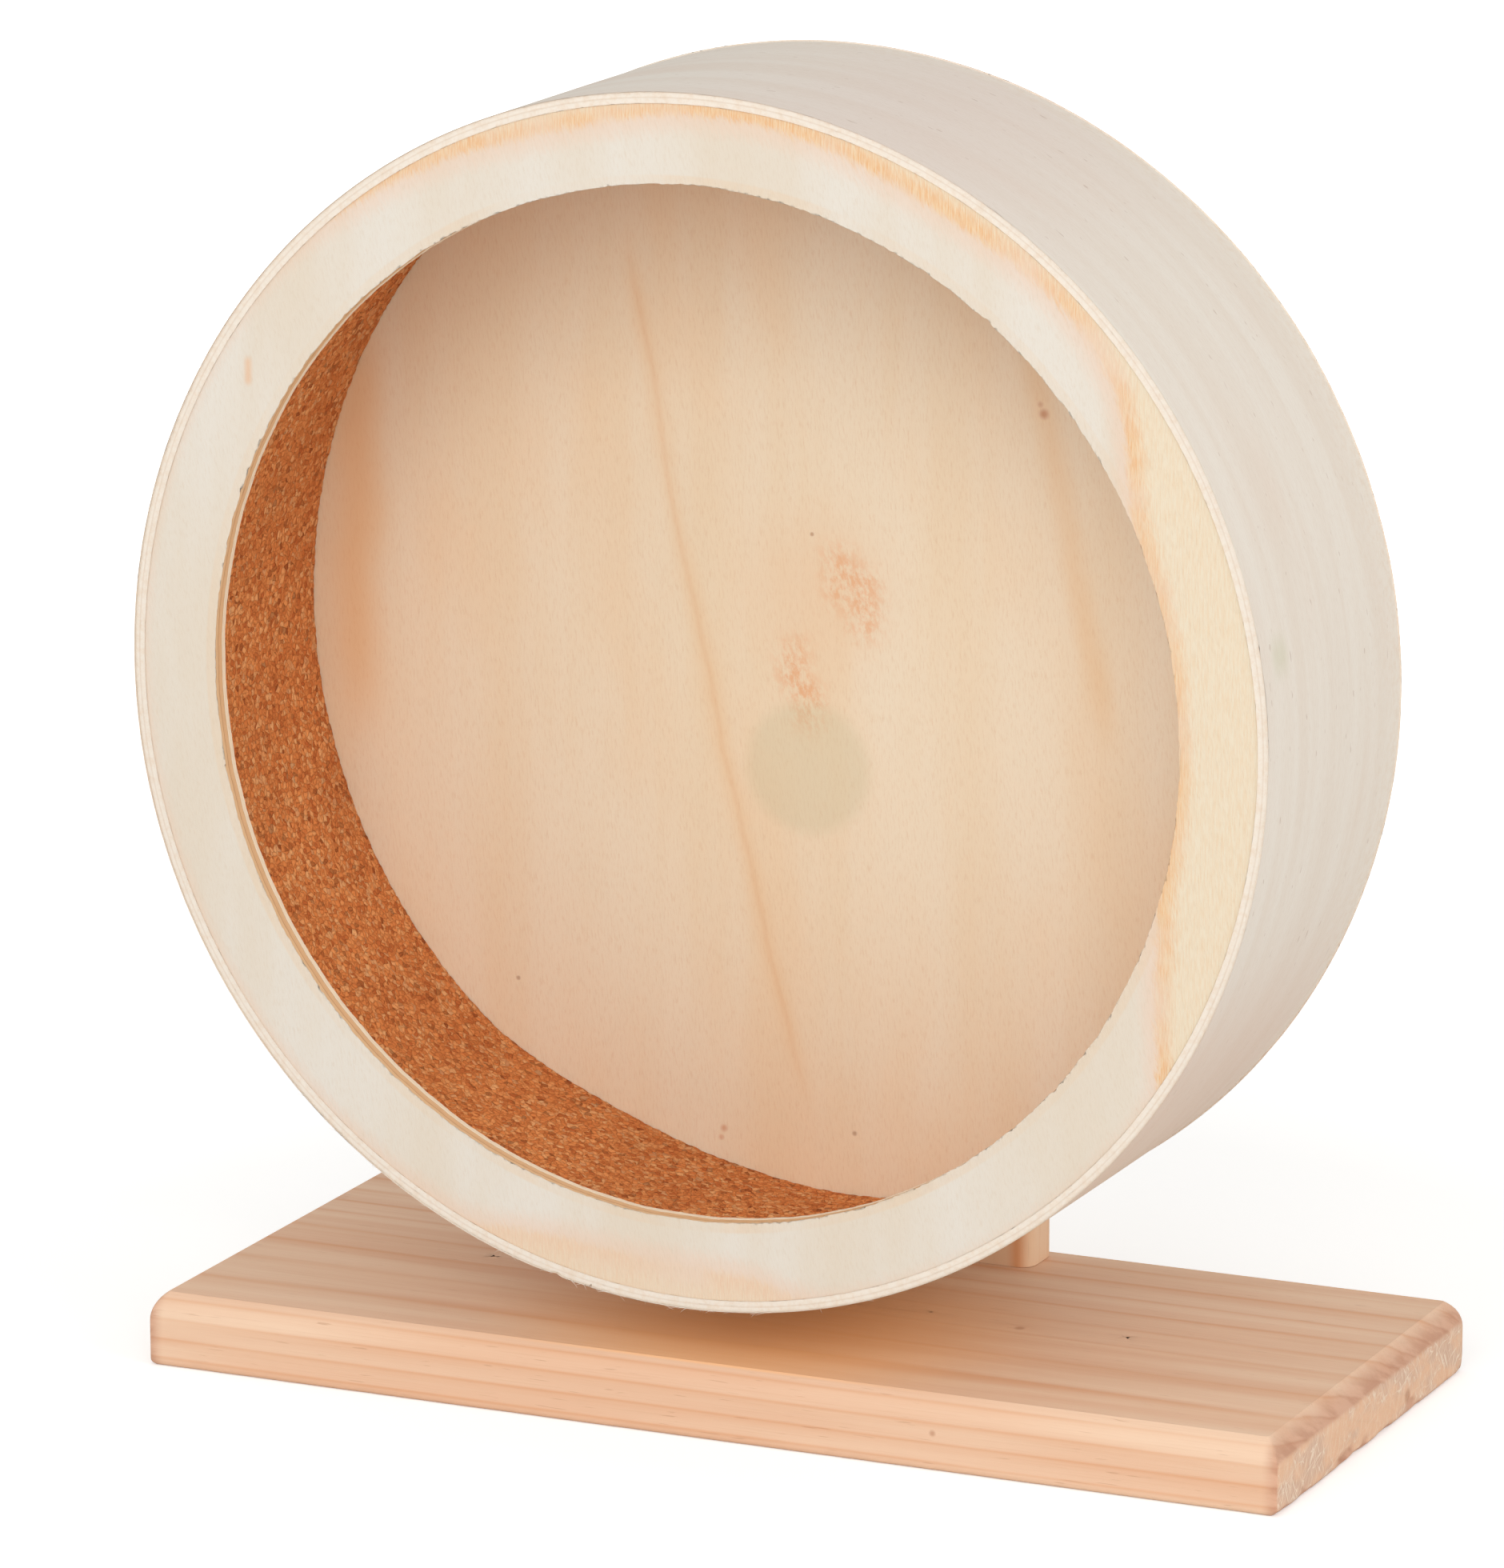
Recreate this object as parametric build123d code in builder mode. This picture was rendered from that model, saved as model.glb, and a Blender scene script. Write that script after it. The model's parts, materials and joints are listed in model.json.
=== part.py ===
"""Wooden hamster wheel: a cork lined plywood drum that turns on ball bearings in a pine stand.

Millimetres. +Z is up and +Y runs from the open mouth of the drum to the upright behind it.
The origin is the middle of the base board's underside.
"""
import math
import os

from build123d import *

os.makedirs("parts", exist_ok=True)

# Base board
BASE_LENGTH = 283.4
BASE_THICKNESS = 17.5
BASE_BEHIND_POST = 5.0
BASE_ROUND_RADIUS = 8.0
BASE_ROUND_HEIGHT = 6.7
BASE_BOTTOM_CHAMFER = 1.0

# Where the wheel hangs over the base
AXLE_OFFSET = -3.0
WHEEL_SETBACK = 1.1
WHEEL_LIFT = 13.0

# Drum
WHEEL_RADIUS = 140.0
WHEEL_WIDTH = 84.0
BAND_THICKNESS = 2.75
BAND_SEAM_ANGLE = -100.0
BAND_SEAM_WIDTH = 0.5
BAND_SEAM_DEPTH = 0.6
RING_THICKNESS = 5.0
RING_WIDTH = 18.05
DISC_THICKNESS = 5.0

# Cork strip, whose glued butt seam has lifted off the band
CORK_THICKNESS = 3.85
CORK_LIFT = 3.4
CORK_LIFT_ANGLE = -111.0
CORK_LIFT_BELOW = 20.0
CORK_LIFT_ABOVE = 30.0
CORK_LIFT_POWER = 1.3
CORK_LIFT_STEPS = 10
CORK_SEAM_ANGLE = -117.5
CORK_SEAM_GAP = 0.4

# Upright
POST_WIDTH = 85.5
POST_EDGE_ROUND = 3.6
POST_ABOVE_AXLE = 38.0

# Axle bolt, its nut and the sleeves on it
BOLT_RADIUS = 4.0
BOLT_HEAD_ACROSS_FLATS = 13.0
BOLT_HEAD_HEIGHT = 5.3
BOLT_PAST_NUT = 2.0
BOLT_END_CHAMFER = 0.8
SLEEVE_RADIUS = 6.0
FRONT_SPACER_LENGTH = 3.5
REAR_SPACER_LENGTH = 1.6
NUT_ACROSS_FLATS = 13.0
NUT_HEIGHT = 6.5
NUT_COLLAR_RADIUS = 5.7
NUT_COLLAR_HEIGHT = 1.5

# Hub
HUB_RADIUS = 36.0
HUB_THICKNESS = 15.0
HUB_SCREW_CIRCLE_RADIUS = 26.0
HUB_SCREW_COUNT = 3
HUB_SCREW_START_ANGLE = 90.0
HOLE_CLEARANCE = 0.1

# Wood screws
HUB_SCREW_RADIUS = 1.6
HUB_SCREW_HEAD_RADIUS = 3.4
HUB_SCREW_HEAD_HEIGHT = 2.0
HUB_SCREW_BITE = 3.2
STAND_SCREW_RADIUS = 2.2
STAND_SCREW_HEAD_RADIUS = 4.4
STAND_SCREW_HEAD_HEIGHT = 3.0
STAND_SCREW_SINK = 4.0
STAND_SCREW_BITE = 27.5
STAND_SCREW_SPACING = 46.0

# Ball bearings
BEARING_RADIUS = 11.0
BEARING_WIDTH = 7.0
INNER_RING_RADIUS = 6.1
OUTER_RING_BORE_RADIUS = 9.1
SHIELD_THICKNESS = 0.35
SHIELD_CLEARANCE = 0.3

# Places worked out from the sizes above
POST_THICKNESS = 2 * BEARING_WIDTH
HUB_AND_SPACER = HUB_THICKNESS + FRONT_SPACER_LENGTH
BASE_DEPTH = WHEEL_SETBACK + WHEEL_WIDTH + HUB_AND_SPACER + POST_THICKNESS + BASE_BEHIND_POST
AXLE_HEIGHT = BASE_THICKNESS + WHEEL_LIFT + WHEEL_RADIUS
POST_DROP = AXLE_HEIGHT - BASE_THICKNESS
WHEEL_FRONT = WHEEL_SETBACK - BASE_DEPTH / 2
WHEEL_BACK = WHEEL_FRONT + WHEEL_WIDTH
RING_BACK = WHEEL_FRONT + RING_THICKNESS
DISC_FRONT = WHEEL_BACK - DISC_THICKNESS
HUB_BACK = WHEEL_BACK + HUB_THICKNESS
POST_FRONT = WHEEL_BACK + HUB_AND_SPACER
POST_BACK = POST_FRONT + POST_THICKNESS
NUT_FRONT = POST_BACK + REAR_SPACER_LENGTH
NUT_BACK = NUT_FRONT + NUT_HEIGHT
COLLAR_BACK = NUT_BACK + NUT_COLLAR_HEIGHT
BOLT_END = COLLAR_BACK + BOLT_PAST_NUT
BAND_BORE_RADIUS = WHEEL_RADIUS - BAND_THICKNESS
RING_OPENING_RADIUS = BAND_BORE_RADIUS - RING_WIDTH
CORK_BORE_RADIUS = BAND_BORE_RADIUS - CORK_THICKNESS


def facing(depth):
    """Plane square to the axle at a depth, seen from the drum's mouth: extrusions come forward."""
    return Plane(origin=(AXLE_OFFSET, depth, AXLE_HEIGHT), x_dir=(1, 0, 0), z_dir=(0, -1, 0))


def save(builder, node):
    """Name the solid after its node and write its STEP file."""
    builder.part.label = node
    export_step(builder.part, f"parts/{node}.step")


def on_circle(radius, degrees):
    """Point of a circle round the axle, in a facing plane."""
    angle = math.radians(degrees)
    return (radius * math.cos(angle), radius * math.sin(angle))


def cork_lift(degrees):
    """How far the cork strip stands off the band at an angle."""
    away = degrees - CORK_LIFT_ANGLE
    reach = CORK_LIFT_ABOVE if away > 0 else CORK_LIFT_BELOW
    share = min(abs(away) / reach, 1.0)
    return CORK_LIFT * math.cos(math.pi / 2 * share) ** CORK_LIFT_POWER


def lifted_outline(radius):
    """Closed line of a round strip at a radius, with its lifted stretch as a spline."""
    start = CORK_LIFT_ANGLE - CORK_LIFT_BELOW
    end = CORK_LIFT_ANGLE + CORK_LIFT_ABOVE
    step = (end - start) / CORK_LIFT_STEPS
    angles = [start + step * index for index in range(CORK_LIFT_STEPS + 1)]
    points = [on_circle(radius - cork_lift(angle), angle) for angle in angles]
    tangents = [on_circle(1, start + 90), on_circle(1, end + 90)]
    Spline(*points, tangents=tangents)
    CenterArc((0, 0), radius, end, 360 + start - end)


def board_section(width):
    """Closed line across the base board: arcs that meet the flat top at an angle, and eased bottom edges."""
    half = width / 2
    shoulder = BASE_THICKNESS - BASE_ROUND_HEIGHT
    arc_angle = math.degrees(math.asin(BASE_ROUND_HEIGHT / BASE_ROUND_RADIUS))
    right = CenterArc((half - BASE_ROUND_RADIUS, shoulder), BASE_ROUND_RADIUS, 0, arc_angle)
    left = CenterArc((BASE_ROUND_RADIUS - half, shoulder), BASE_ROUND_RADIUS, 180 - arc_angle, arc_angle)
    Line(right @ 1, left @ 0)
    Polyline(
        left @ 1,
        (-half, BASE_BOTTOM_CHAMFER),
        (BASE_BOTTOM_CHAMFER - half, 0),
        (half - BASE_BOTTOM_CHAMFER, 0),
        (half, BASE_BOTTOM_CHAMFER),
        right @ 0,
    )


# Base board, rounded along its top edges, with a counterbored hole for each stand screw
stand_screw_x = [AXLE_OFFSET - STAND_SCREW_SPACING / 2, AXLE_OFFSET + STAND_SCREW_SPACING / 2]
stand_screw_y = (POST_FRONT + POST_BACK) / 2
with BuildPart() as base_board:
    with BuildSketch(Plane.XZ):
        with BuildLine():
            board_section(BASE_LENGTH)
        make_face()
    extrude(amount=BASE_DEPTH / 2, both=True)
    with BuildSketch(Plane.YZ):
        with BuildLine():
            board_section(BASE_DEPTH)
        make_face()
    extrude(amount=BASE_LENGTH / 2, both=True, mode=Mode.INTERSECT)
    for x in stand_screw_x:
        with BuildSketch(Plane(origin=(x, stand_screw_y, 0))):
            Circle(STAND_SCREW_HEAD_RADIUS + HOLE_CLEARANCE)
        extrude(amount=STAND_SCREW_SINK, mode=Mode.SUBTRACT)
        with BuildSketch(Plane(origin=(x, stand_screw_y, 0))):
            Circle(STAND_SCREW_RADIUS)
        extrude(amount=BASE_THICKNESS, mode=Mode.SUBTRACT)
save(base_board, "base_board")


# Upright, as thick as its two bearings, which fill one bore side by side
with BuildPart() as upright_board:
    with BuildSketch(facing(POST_BACK)):
        with Locations((0, (POST_ABOVE_AXLE - POST_DROP) / 2)):
            Rectangle(POST_WIDTH, POST_ABOVE_AXLE + POST_DROP)
    extrude(amount=POST_THICKNESS)
    for face in (upright_board.faces().sort_by(Axis.Y)[0], upright_board.faces().sort_by(Axis.Y)[-1]):
        fillet(face.edges().sort_by(Axis.Z)[1:], POST_EDGE_ROUND)
    with BuildSketch(facing(POST_BACK)):
        Circle(BEARING_RADIUS)
    extrude(amount=POST_THICKNESS, mode=Mode.SUBTRACT)
    for x in stand_screw_x:
        with BuildSketch(Plane(origin=(x, stand_screw_y, BASE_THICKNESS), z_dir=(0, 0, 1))):
            Circle(STAND_SCREW_RADIUS)
        extrude(amount=STAND_SCREW_BITE + HOLE_CLEARANCE, mode=Mode.SUBTRACT)
save(upright_board, "upright_board")


# Bent plywood band, with the scarf seam that joins its ends
with BuildPart() as rim_band:
    with BuildSketch(facing(WHEEL_BACK)):
        Circle(WHEEL_RADIUS)
        Circle(BAND_BORE_RADIUS, mode=Mode.SUBTRACT)
    extrude(amount=WHEEL_WIDTH)
    with BuildSketch(facing(WHEEL_BACK)):
        with Locations(Location((*on_circle(WHEEL_RADIUS, BAND_SEAM_ANGLE), 0), (0, 0, BAND_SEAM_ANGLE))):
            Rectangle(2 * BAND_SEAM_DEPTH, BAND_SEAM_WIDTH)
    extrude(amount=WHEEL_WIDTH, mode=Mode.SUBTRACT)
save(rim_band, "rim_band")


# Front ring inside the band
with BuildPart() as front_ring:
    with BuildSketch(facing(RING_BACK)):
        Circle(BAND_BORE_RADIUS)
        Circle(RING_OPENING_RADIUS, mode=Mode.SUBTRACT)
    extrude(amount=RING_THICKNESS)
save(front_ring, "front_ring")


# Back disc, solid to the drum, with blind pilot holes for the hub screws
with BuildPart() as back_disc:
    with BuildSketch(facing(WHEEL_BACK)):
        Circle(BAND_BORE_RADIUS)
    extrude(amount=DISC_THICKNESS)
    with BuildSketch(facing(WHEEL_BACK)):
        with PolarLocations(HUB_SCREW_CIRCLE_RADIUS, HUB_SCREW_COUNT, start_angle=HUB_SCREW_START_ANGLE):
            Circle(HUB_SCREW_RADIUS)
    extrude(amount=HUB_SCREW_BITE + HOLE_CLEARANCE, mode=Mode.SUBTRACT)
save(back_disc, "back_disc")


# Cork running strip between ring and disc, cut through at its butt seam
with BuildPart() as cork_lining:
    with BuildSketch(facing(DISC_FRONT)):
        with BuildLine():
            lifted_outline(BAND_BORE_RADIUS)
        make_face()
        with BuildLine():
            lifted_outline(CORK_BORE_RADIUS)
        make_face(mode=Mode.SUBTRACT)
        with Locations(Location((*on_circle(CORK_BORE_RADIUS, CORK_SEAM_ANGLE), 0), (0, 0, CORK_SEAM_ANGLE))):
            Rectangle(4 * CORK_THICKNESS, CORK_SEAM_GAP, mode=Mode.SUBTRACT)
    extrude(amount=DISC_FRONT - RING_BACK)
save(cork_lining, "cork_lining")


# Hub behind the disc, with a hexagon pocket for the bolt head
with BuildPart() as hub_block:
    with BuildSketch(facing(HUB_BACK)):
        Circle(HUB_RADIUS)
    extrude(amount=HUB_THICKNESS)
    with BuildSketch(facing(WHEEL_BACK + BOLT_HEAD_HEIGHT)):
        RegularPolygon(BOLT_HEAD_ACROSS_FLATS / 2 + HOLE_CLEARANCE, 6, major_radius=False)
    extrude(amount=BOLT_HEAD_HEIGHT, mode=Mode.SUBTRACT)
    with BuildSketch(facing(HUB_BACK)):
        Circle(BOLT_RADIUS + HOLE_CLEARANCE)
    extrude(amount=HUB_THICKNESS, mode=Mode.SUBTRACT)
    with BuildSketch(facing(HUB_BACK)):
        with PolarLocations(HUB_SCREW_CIRCLE_RADIUS, HUB_SCREW_COUNT, start_angle=HUB_SCREW_START_ANGLE):
            Circle(HUB_SCREW_RADIUS)
    extrude(amount=HUB_THICKNESS, mode=Mode.SUBTRACT)
save(hub_block, "hub_block")


# Axle bolt
with BuildPart() as axle_bolt:
    with BuildSketch(facing(WHEEL_BACK + BOLT_HEAD_HEIGHT)):
        RegularPolygon(BOLT_HEAD_ACROSS_FLATS / 2, 6, major_radius=False)
    extrude(amount=BOLT_HEAD_HEIGHT)
    with BuildSketch(facing(BOLT_END)):
        Circle(BOLT_RADIUS)
    extrude(amount=BOLT_END - WHEEL_BACK - BOLT_HEAD_HEIGHT)
    chamfer(axle_bolt.faces().sort_by(Axis.Y)[-1].edges(), BOLT_END_CHAMFER)
save(axle_bolt, "axle_bolt")


# Lock nut and the plastic collar in its back
with BuildPart() as lock_nut:
    with BuildSketch(facing(NUT_BACK)):
        RegularPolygon(NUT_ACROSS_FLATS / 2, 6, major_radius=False)
        Circle(BOLT_RADIUS, mode=Mode.SUBTRACT)
    extrude(amount=NUT_HEIGHT)
save(lock_nut, "lock_nut")

with BuildPart() as lock_nut_collar:
    with BuildSketch(facing(COLLAR_BACK)):
        Circle(NUT_COLLAR_RADIUS)
        Circle(BOLT_RADIUS, mode=Mode.SUBTRACT)
    extrude(amount=NUT_COLLAR_HEIGHT)
save(lock_nut_collar, "lock_nut_collar")


def pan_head_screw(plane, radius, head_radius, head_height, length):
    """Wood screw that goes down from its head's seat on a plane."""
    with BuildPart() as screw:
        with BuildSketch(plane):
            Circle(head_radius)
        extrude(amount=-head_height)
        with BuildSketch(plane):
            Circle(radius)
        extrude(amount=length)
    return screw


# Stand screws, driven up through the base into the upright
for node, x in zip(("stand_screw_left", "stand_screw_right"), stand_screw_x):
    stand_screw = pan_head_screw(
        Plane(origin=(x, stand_screw_y, STAND_SCREW_SINK), x_dir=(1, 0, 0), z_dir=(0, 0, 1)),
        STAND_SCREW_RADIUS,
        STAND_SCREW_HEAD_RADIUS,
        STAND_SCREW_HEAD_HEIGHT,
        BASE_THICKNESS - STAND_SCREW_SINK + STAND_SCREW_BITE,
    )
    save(stand_screw, node)


# Hub screws, driven forward through the hub into the disc
for index in range(HUB_SCREW_COUNT):
    angle = HUB_SCREW_START_ANGLE + 360 / HUB_SCREW_COUNT * index
    across, up = on_circle(HUB_SCREW_CIRCLE_RADIUS, angle)
    head_seat = (AXLE_OFFSET + across, HUB_BACK, AXLE_HEIGHT + up)
    hub_screw = pan_head_screw(
        Plane(origin=head_seat, x_dir=(1, 0, 0), z_dir=(0, -1, 0)),
        HUB_SCREW_RADIUS,
        HUB_SCREW_HEAD_RADIUS,
        HUB_SCREW_HEAD_HEIGHT,
        HUB_THICKNESS + HUB_SCREW_BITE,
    )
    save(hub_screw, f"hub_screw_{index + 1}")


def ring(front, length, bore_radius, outer_radius):
    """Plain ring round the axle that runs back from a depth."""
    with BuildPart() as band:
        with BuildSketch(facing(front + length)):
            Circle(outer_radius)
            Circle(bore_radius, mode=Mode.SUBTRACT)
        extrude(amount=length)
    return band


# Sleeves on the bolt
save(ring(HUB_BACK, FRONT_SPACER_LENGTH, BOLT_RADIUS, SLEEVE_RADIUS), "front_spacer")
save(ring(POST_BACK, REAR_SPACER_LENGTH, BOLT_RADIUS, SLEEVE_RADIUS), "rear_spacer")


# Two sealed ball bearings, each with the shield pressed into its outer side
shield_bore_radius = INNER_RING_RADIUS + SHIELD_CLEARANCE
bearings = {
    "front": (POST_FRONT, POST_FRONT),
    "rear": (POST_BACK - BEARING_WIDTH, POST_BACK - SHIELD_THICKNESS),
}
for name, (front, shield_front) in bearings.items():
    inner_ring = ring(front, BEARING_WIDTH, BOLT_RADIUS, INNER_RING_RADIUS)
    save(inner_ring, f"{name}_bearing_inner_ring")
    shield = ring(shield_front, SHIELD_THICKNESS, shield_bore_radius, OUTER_RING_BORE_RADIUS)
    with BuildPart() as outer_ring:
        add(ring(front, BEARING_WIDTH, OUTER_RING_BORE_RADIUS, BEARING_RADIUS).part)
        add(shield.part)
    save(outer_ring, f"{name}_bearing_outer_ring")
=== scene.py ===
"""Wooden hamster wheel: pine stand, plywood drum and cork running strip.

Shapes are worked out in millimetres and made in metres, in the frame's own space:
+Z is up, +Y runs from the drum's mouth to the upright, and the origin is under the base.
"""

import json
import math

import bpy
import numpy as np
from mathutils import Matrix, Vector


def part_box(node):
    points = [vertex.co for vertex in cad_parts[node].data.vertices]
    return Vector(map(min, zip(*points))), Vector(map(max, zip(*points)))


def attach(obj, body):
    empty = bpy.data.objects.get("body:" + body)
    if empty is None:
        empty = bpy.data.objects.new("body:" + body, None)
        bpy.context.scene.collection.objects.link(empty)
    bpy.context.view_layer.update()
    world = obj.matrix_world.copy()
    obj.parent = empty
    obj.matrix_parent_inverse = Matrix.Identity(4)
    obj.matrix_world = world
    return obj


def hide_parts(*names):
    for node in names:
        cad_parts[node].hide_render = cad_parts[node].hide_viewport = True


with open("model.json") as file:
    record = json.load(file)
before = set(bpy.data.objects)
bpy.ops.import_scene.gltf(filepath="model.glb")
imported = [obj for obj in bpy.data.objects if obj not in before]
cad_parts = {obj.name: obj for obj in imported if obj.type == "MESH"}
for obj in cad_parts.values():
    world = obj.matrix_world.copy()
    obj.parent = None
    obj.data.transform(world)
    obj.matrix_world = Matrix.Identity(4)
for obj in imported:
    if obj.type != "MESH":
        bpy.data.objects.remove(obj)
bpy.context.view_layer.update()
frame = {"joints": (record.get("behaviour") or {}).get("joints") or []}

MM = 0.001
AXLE_X, _, AXLE_Z = [value / MM for value in frame["joints"][0]["pos_m"]]


def box_mm(node):
    """Lowest and highest corner of a CAD node."""
    low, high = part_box(node)
    return np.array(low) / MM, np.array(high) / MM


def round_size(node):
    """Depth at the front, depth at the back and outer radius of a node that is round about the axle."""
    low, high = box_mm(node)
    return low[1], high[1], max(high[0] - AXLE_X, AXLE_X - low[0])


# Patterns on whole arrays


def cell_number(cell, seed):
    """Repeatable number from 0 to 1 for each whole-numbered cell."""
    mixed = cell[..., 0] * 374761393 + cell[..., 1] * 668265263 + cell[..., 2] * 1440865359 + seed * 974711
    mixed = (mixed ^ (mixed >> 13)) * 1274126177 & 0xFFFFFFFF
    mixed = (mixed ^ (mixed >> 15)) * 2246822519 & 0xFFFFFFFF
    return ((mixed ^ (mixed >> 16)) & 0xFFFFFF) / 0xFFFFFF


def drift(points, size, seed=0):
    """Slow rise and fall from -1 to 1: numbers at cell corners, size mm apart, blended by a smooth step."""
    place = points / np.asarray(size, float)
    cell = np.floor(place).astype(np.int64)
    share = place - cell
    share = share * share * (3 - 2 * share)
    total = 0
    for corner in range(8):
        step = np.array([corner & 1, corner >> 1 & 1, corner >> 2])
        weight = np.prod(np.where(step, share, 1 - share), axis=-1)
        total = total + weight * cell_number(cell + step, seed)
    return 2 * total - 1


def granule_gap(points, size, seed=0):
    """How much nearer each point is to its own granule's centre than to the next one, in granule sizes."""
    place = points / size
    cell = np.floor(place).astype(np.int64)
    nearest = np.full(points.shape[:-1], 9.0)
    second = nearest.copy()
    for step in np.ndindex(3, 3, 3):
        near = cell + np.array(step) - 1
        centre = near + np.stack([cell_number(near, seed + axis) for axis in range(3)], -1)
        away = np.linalg.norm(centre - place, axis=-1)
        second = np.minimum(second, np.maximum(nearest, away))
        nearest = np.minimum(nearest, away)
    return second - nearest


def smooth(low, high, value):
    """Smooth step from 0 at low to 1 at high."""
    share = np.clip((value - low) / (high - low), 0, 1)
    return share * share * (3 - 2 * share)


# Surfaces


def outline(corners, spacing):
    """Closed line through (across, up, rounding) corners: a short curve at each, even steps between."""
    corners = np.array(corners, float)
    places, rounding = corners[:, :2], corners[:, 2:]
    after = np.roll(places, -1, 0) - places
    length = np.linalg.norm(after, axis=1, keepdims=True)
    leaving = places + after / length * rounding
    arriving = np.roll(places - after / length * np.roll(rounding, -1, 0), 1, 0)
    pieces = []
    for index in range(len(places)):
        bend = np.linspace(0, 1, 4)[:, None]
        straight = (1 - bend) ** 2 * arriving[index] + 2 * bend * (1 - bend) * places[index]
        pieces.append(straight + bend**2 * leaving[index])
        following = arriving[(index + 1) % len(places)]
        run = np.linalg.norm(following - leaving[index])
        steps = max(int(run / spacing), 1)
        share = np.arange(1, steps) / steps
        edge = min(0.3 / max(run, 0.7), 0.4)
        share = share[(share > edge) & (share < 1 - edge)]
        share = np.unique(np.concatenate([share, [edge, 1 - edge]]))[:, None]
        pieces.append(leaving[index] + (following - leaving[index]) * share)
    return np.concatenate(pieces)


def turned(line, angles, shape=None):
    """Rings round the axle: each (depth, radius) of a line is carried round every angle, then shaped."""
    depth = np.repeat(line[:, :1], len(angles), 1)
    radius = np.repeat(line[:, 1:2], len(angles), 1)
    angle = np.repeat(angles[None], len(line), 0)
    if shape:
        depth, radius = shape(angle, depth, radius)
    return np.stack([AXLE_X + radius * np.cos(angle), depth, AXLE_Z + radius * np.sin(angle)], -1)


def full_turn(steps):
    """Even angles round a full turn."""
    return np.linspace(-math.pi, math.pi, steps, endpoint=False)


def skin(rings, closed):
    """Points, and faces as corner lists, of the surface through closed rings; an open stack gets flat ends."""
    rows, columns = rings.shape[:2]
    row = np.arange(rows if closed else rows - 1)[:, None]
    column = np.arange(columns)[None]
    next_row = (row + 1) % rows
    next_column = (column + 1) % columns
    near, far = row * columns, next_row * columns
    quads = np.stack([near + column, near + next_column, far + next_column, far + column], -1).reshape(-1, 4)
    ends = [] if closed else [np.arange(columns)[::-1], np.arange(columns) + (rows - 1) * columns]
    return rings.reshape(-1, 3), quads, ends


def piece(name, body, nodes, finish, stacks, sharp=38):
    """A piece made of one or more skins, faces outwards, in place of CAD nodes."""
    points, corner_lists, sizes, offset = [], [], [], 0
    for rings, closed in stacks:
        verts, quads, ends = skin(rings, closed)
        first, second, third, fourth = (verts[quads[:, k]] for k in range(4))
        middle = verts.mean(0)
        reach = first + second + third + fourth - 4 * middle
        volume = np.sum(np.cross(third - first, fourth - second) * reach)
        if volume < 0:
            quads = quads[:, ::-1]
            ends = [end[::-1] for end in ends]
        points.append(verts)
        corner_lists.append((quads + offset).ravel())
        sizes.append(np.full(len(quads), 4))
        for end in ends:
            corner_lists.append(end + offset)
            sizes.append(np.array([len(end)]))
        offset += len(verts)
    points = np.concatenate(points) * MM
    corners = np.concatenate(corner_lists)
    sizes = np.concatenate(sizes)
    mesh = bpy.data.meshes.new(name)
    mesh.vertices.add(len(points))
    mesh.vertices.foreach_set("co", points.astype(np.float32).ravel())
    mesh.loops.add(len(corners))
    mesh.loops.foreach_set("vertex_index", corners.astype(np.int32))
    mesh.polygons.add(len(sizes))
    mesh.polygons.foreach_set("loop_start", (np.cumsum(sizes) - sizes).astype(np.int32))
    mesh.update(calc_edges=True)
    mesh.validate()
    mesh.shade_smooth()
    mesh.set_sharp_from_angle(angle=math.radians(sharp))
    mesh.materials.append(finish)
    made = bpy.data.objects.new(name, mesh)
    bpy.context.scene.collection.objects.link(made)
    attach(made, body)
    if nodes:
        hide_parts(*nodes)
    return made


def cut_away(board, cutters):
    """Take round cutters out of a board's mesh."""
    for cutter in cutters:
        cut = board.modifiers.new("hole", "BOOLEAN")
        cut.operation = "DIFFERENCE"
        cut.solver = "EXACT"
        cut.object = cutter
        bpy.context.view_layer.update()
        mesh = bpy.data.meshes.new_from_object(board.evaluated_get(bpy.context.evaluated_depsgraph_get()))
        board.modifiers.remove(cut)
        board.data = mesh
        bpy.data.objects.remove(cutter)


# Finishes


def tone(red, green, blue):
    """Colour from everyday 0 to 255 numbers."""
    share = np.array([red, green, blue]) / 255
    linear = np.where(share <= 0.04045, share / 12.92, ((share + 0.055) / 1.055) ** 2.4)
    return (*linear.tolist(), 1.0)


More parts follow.
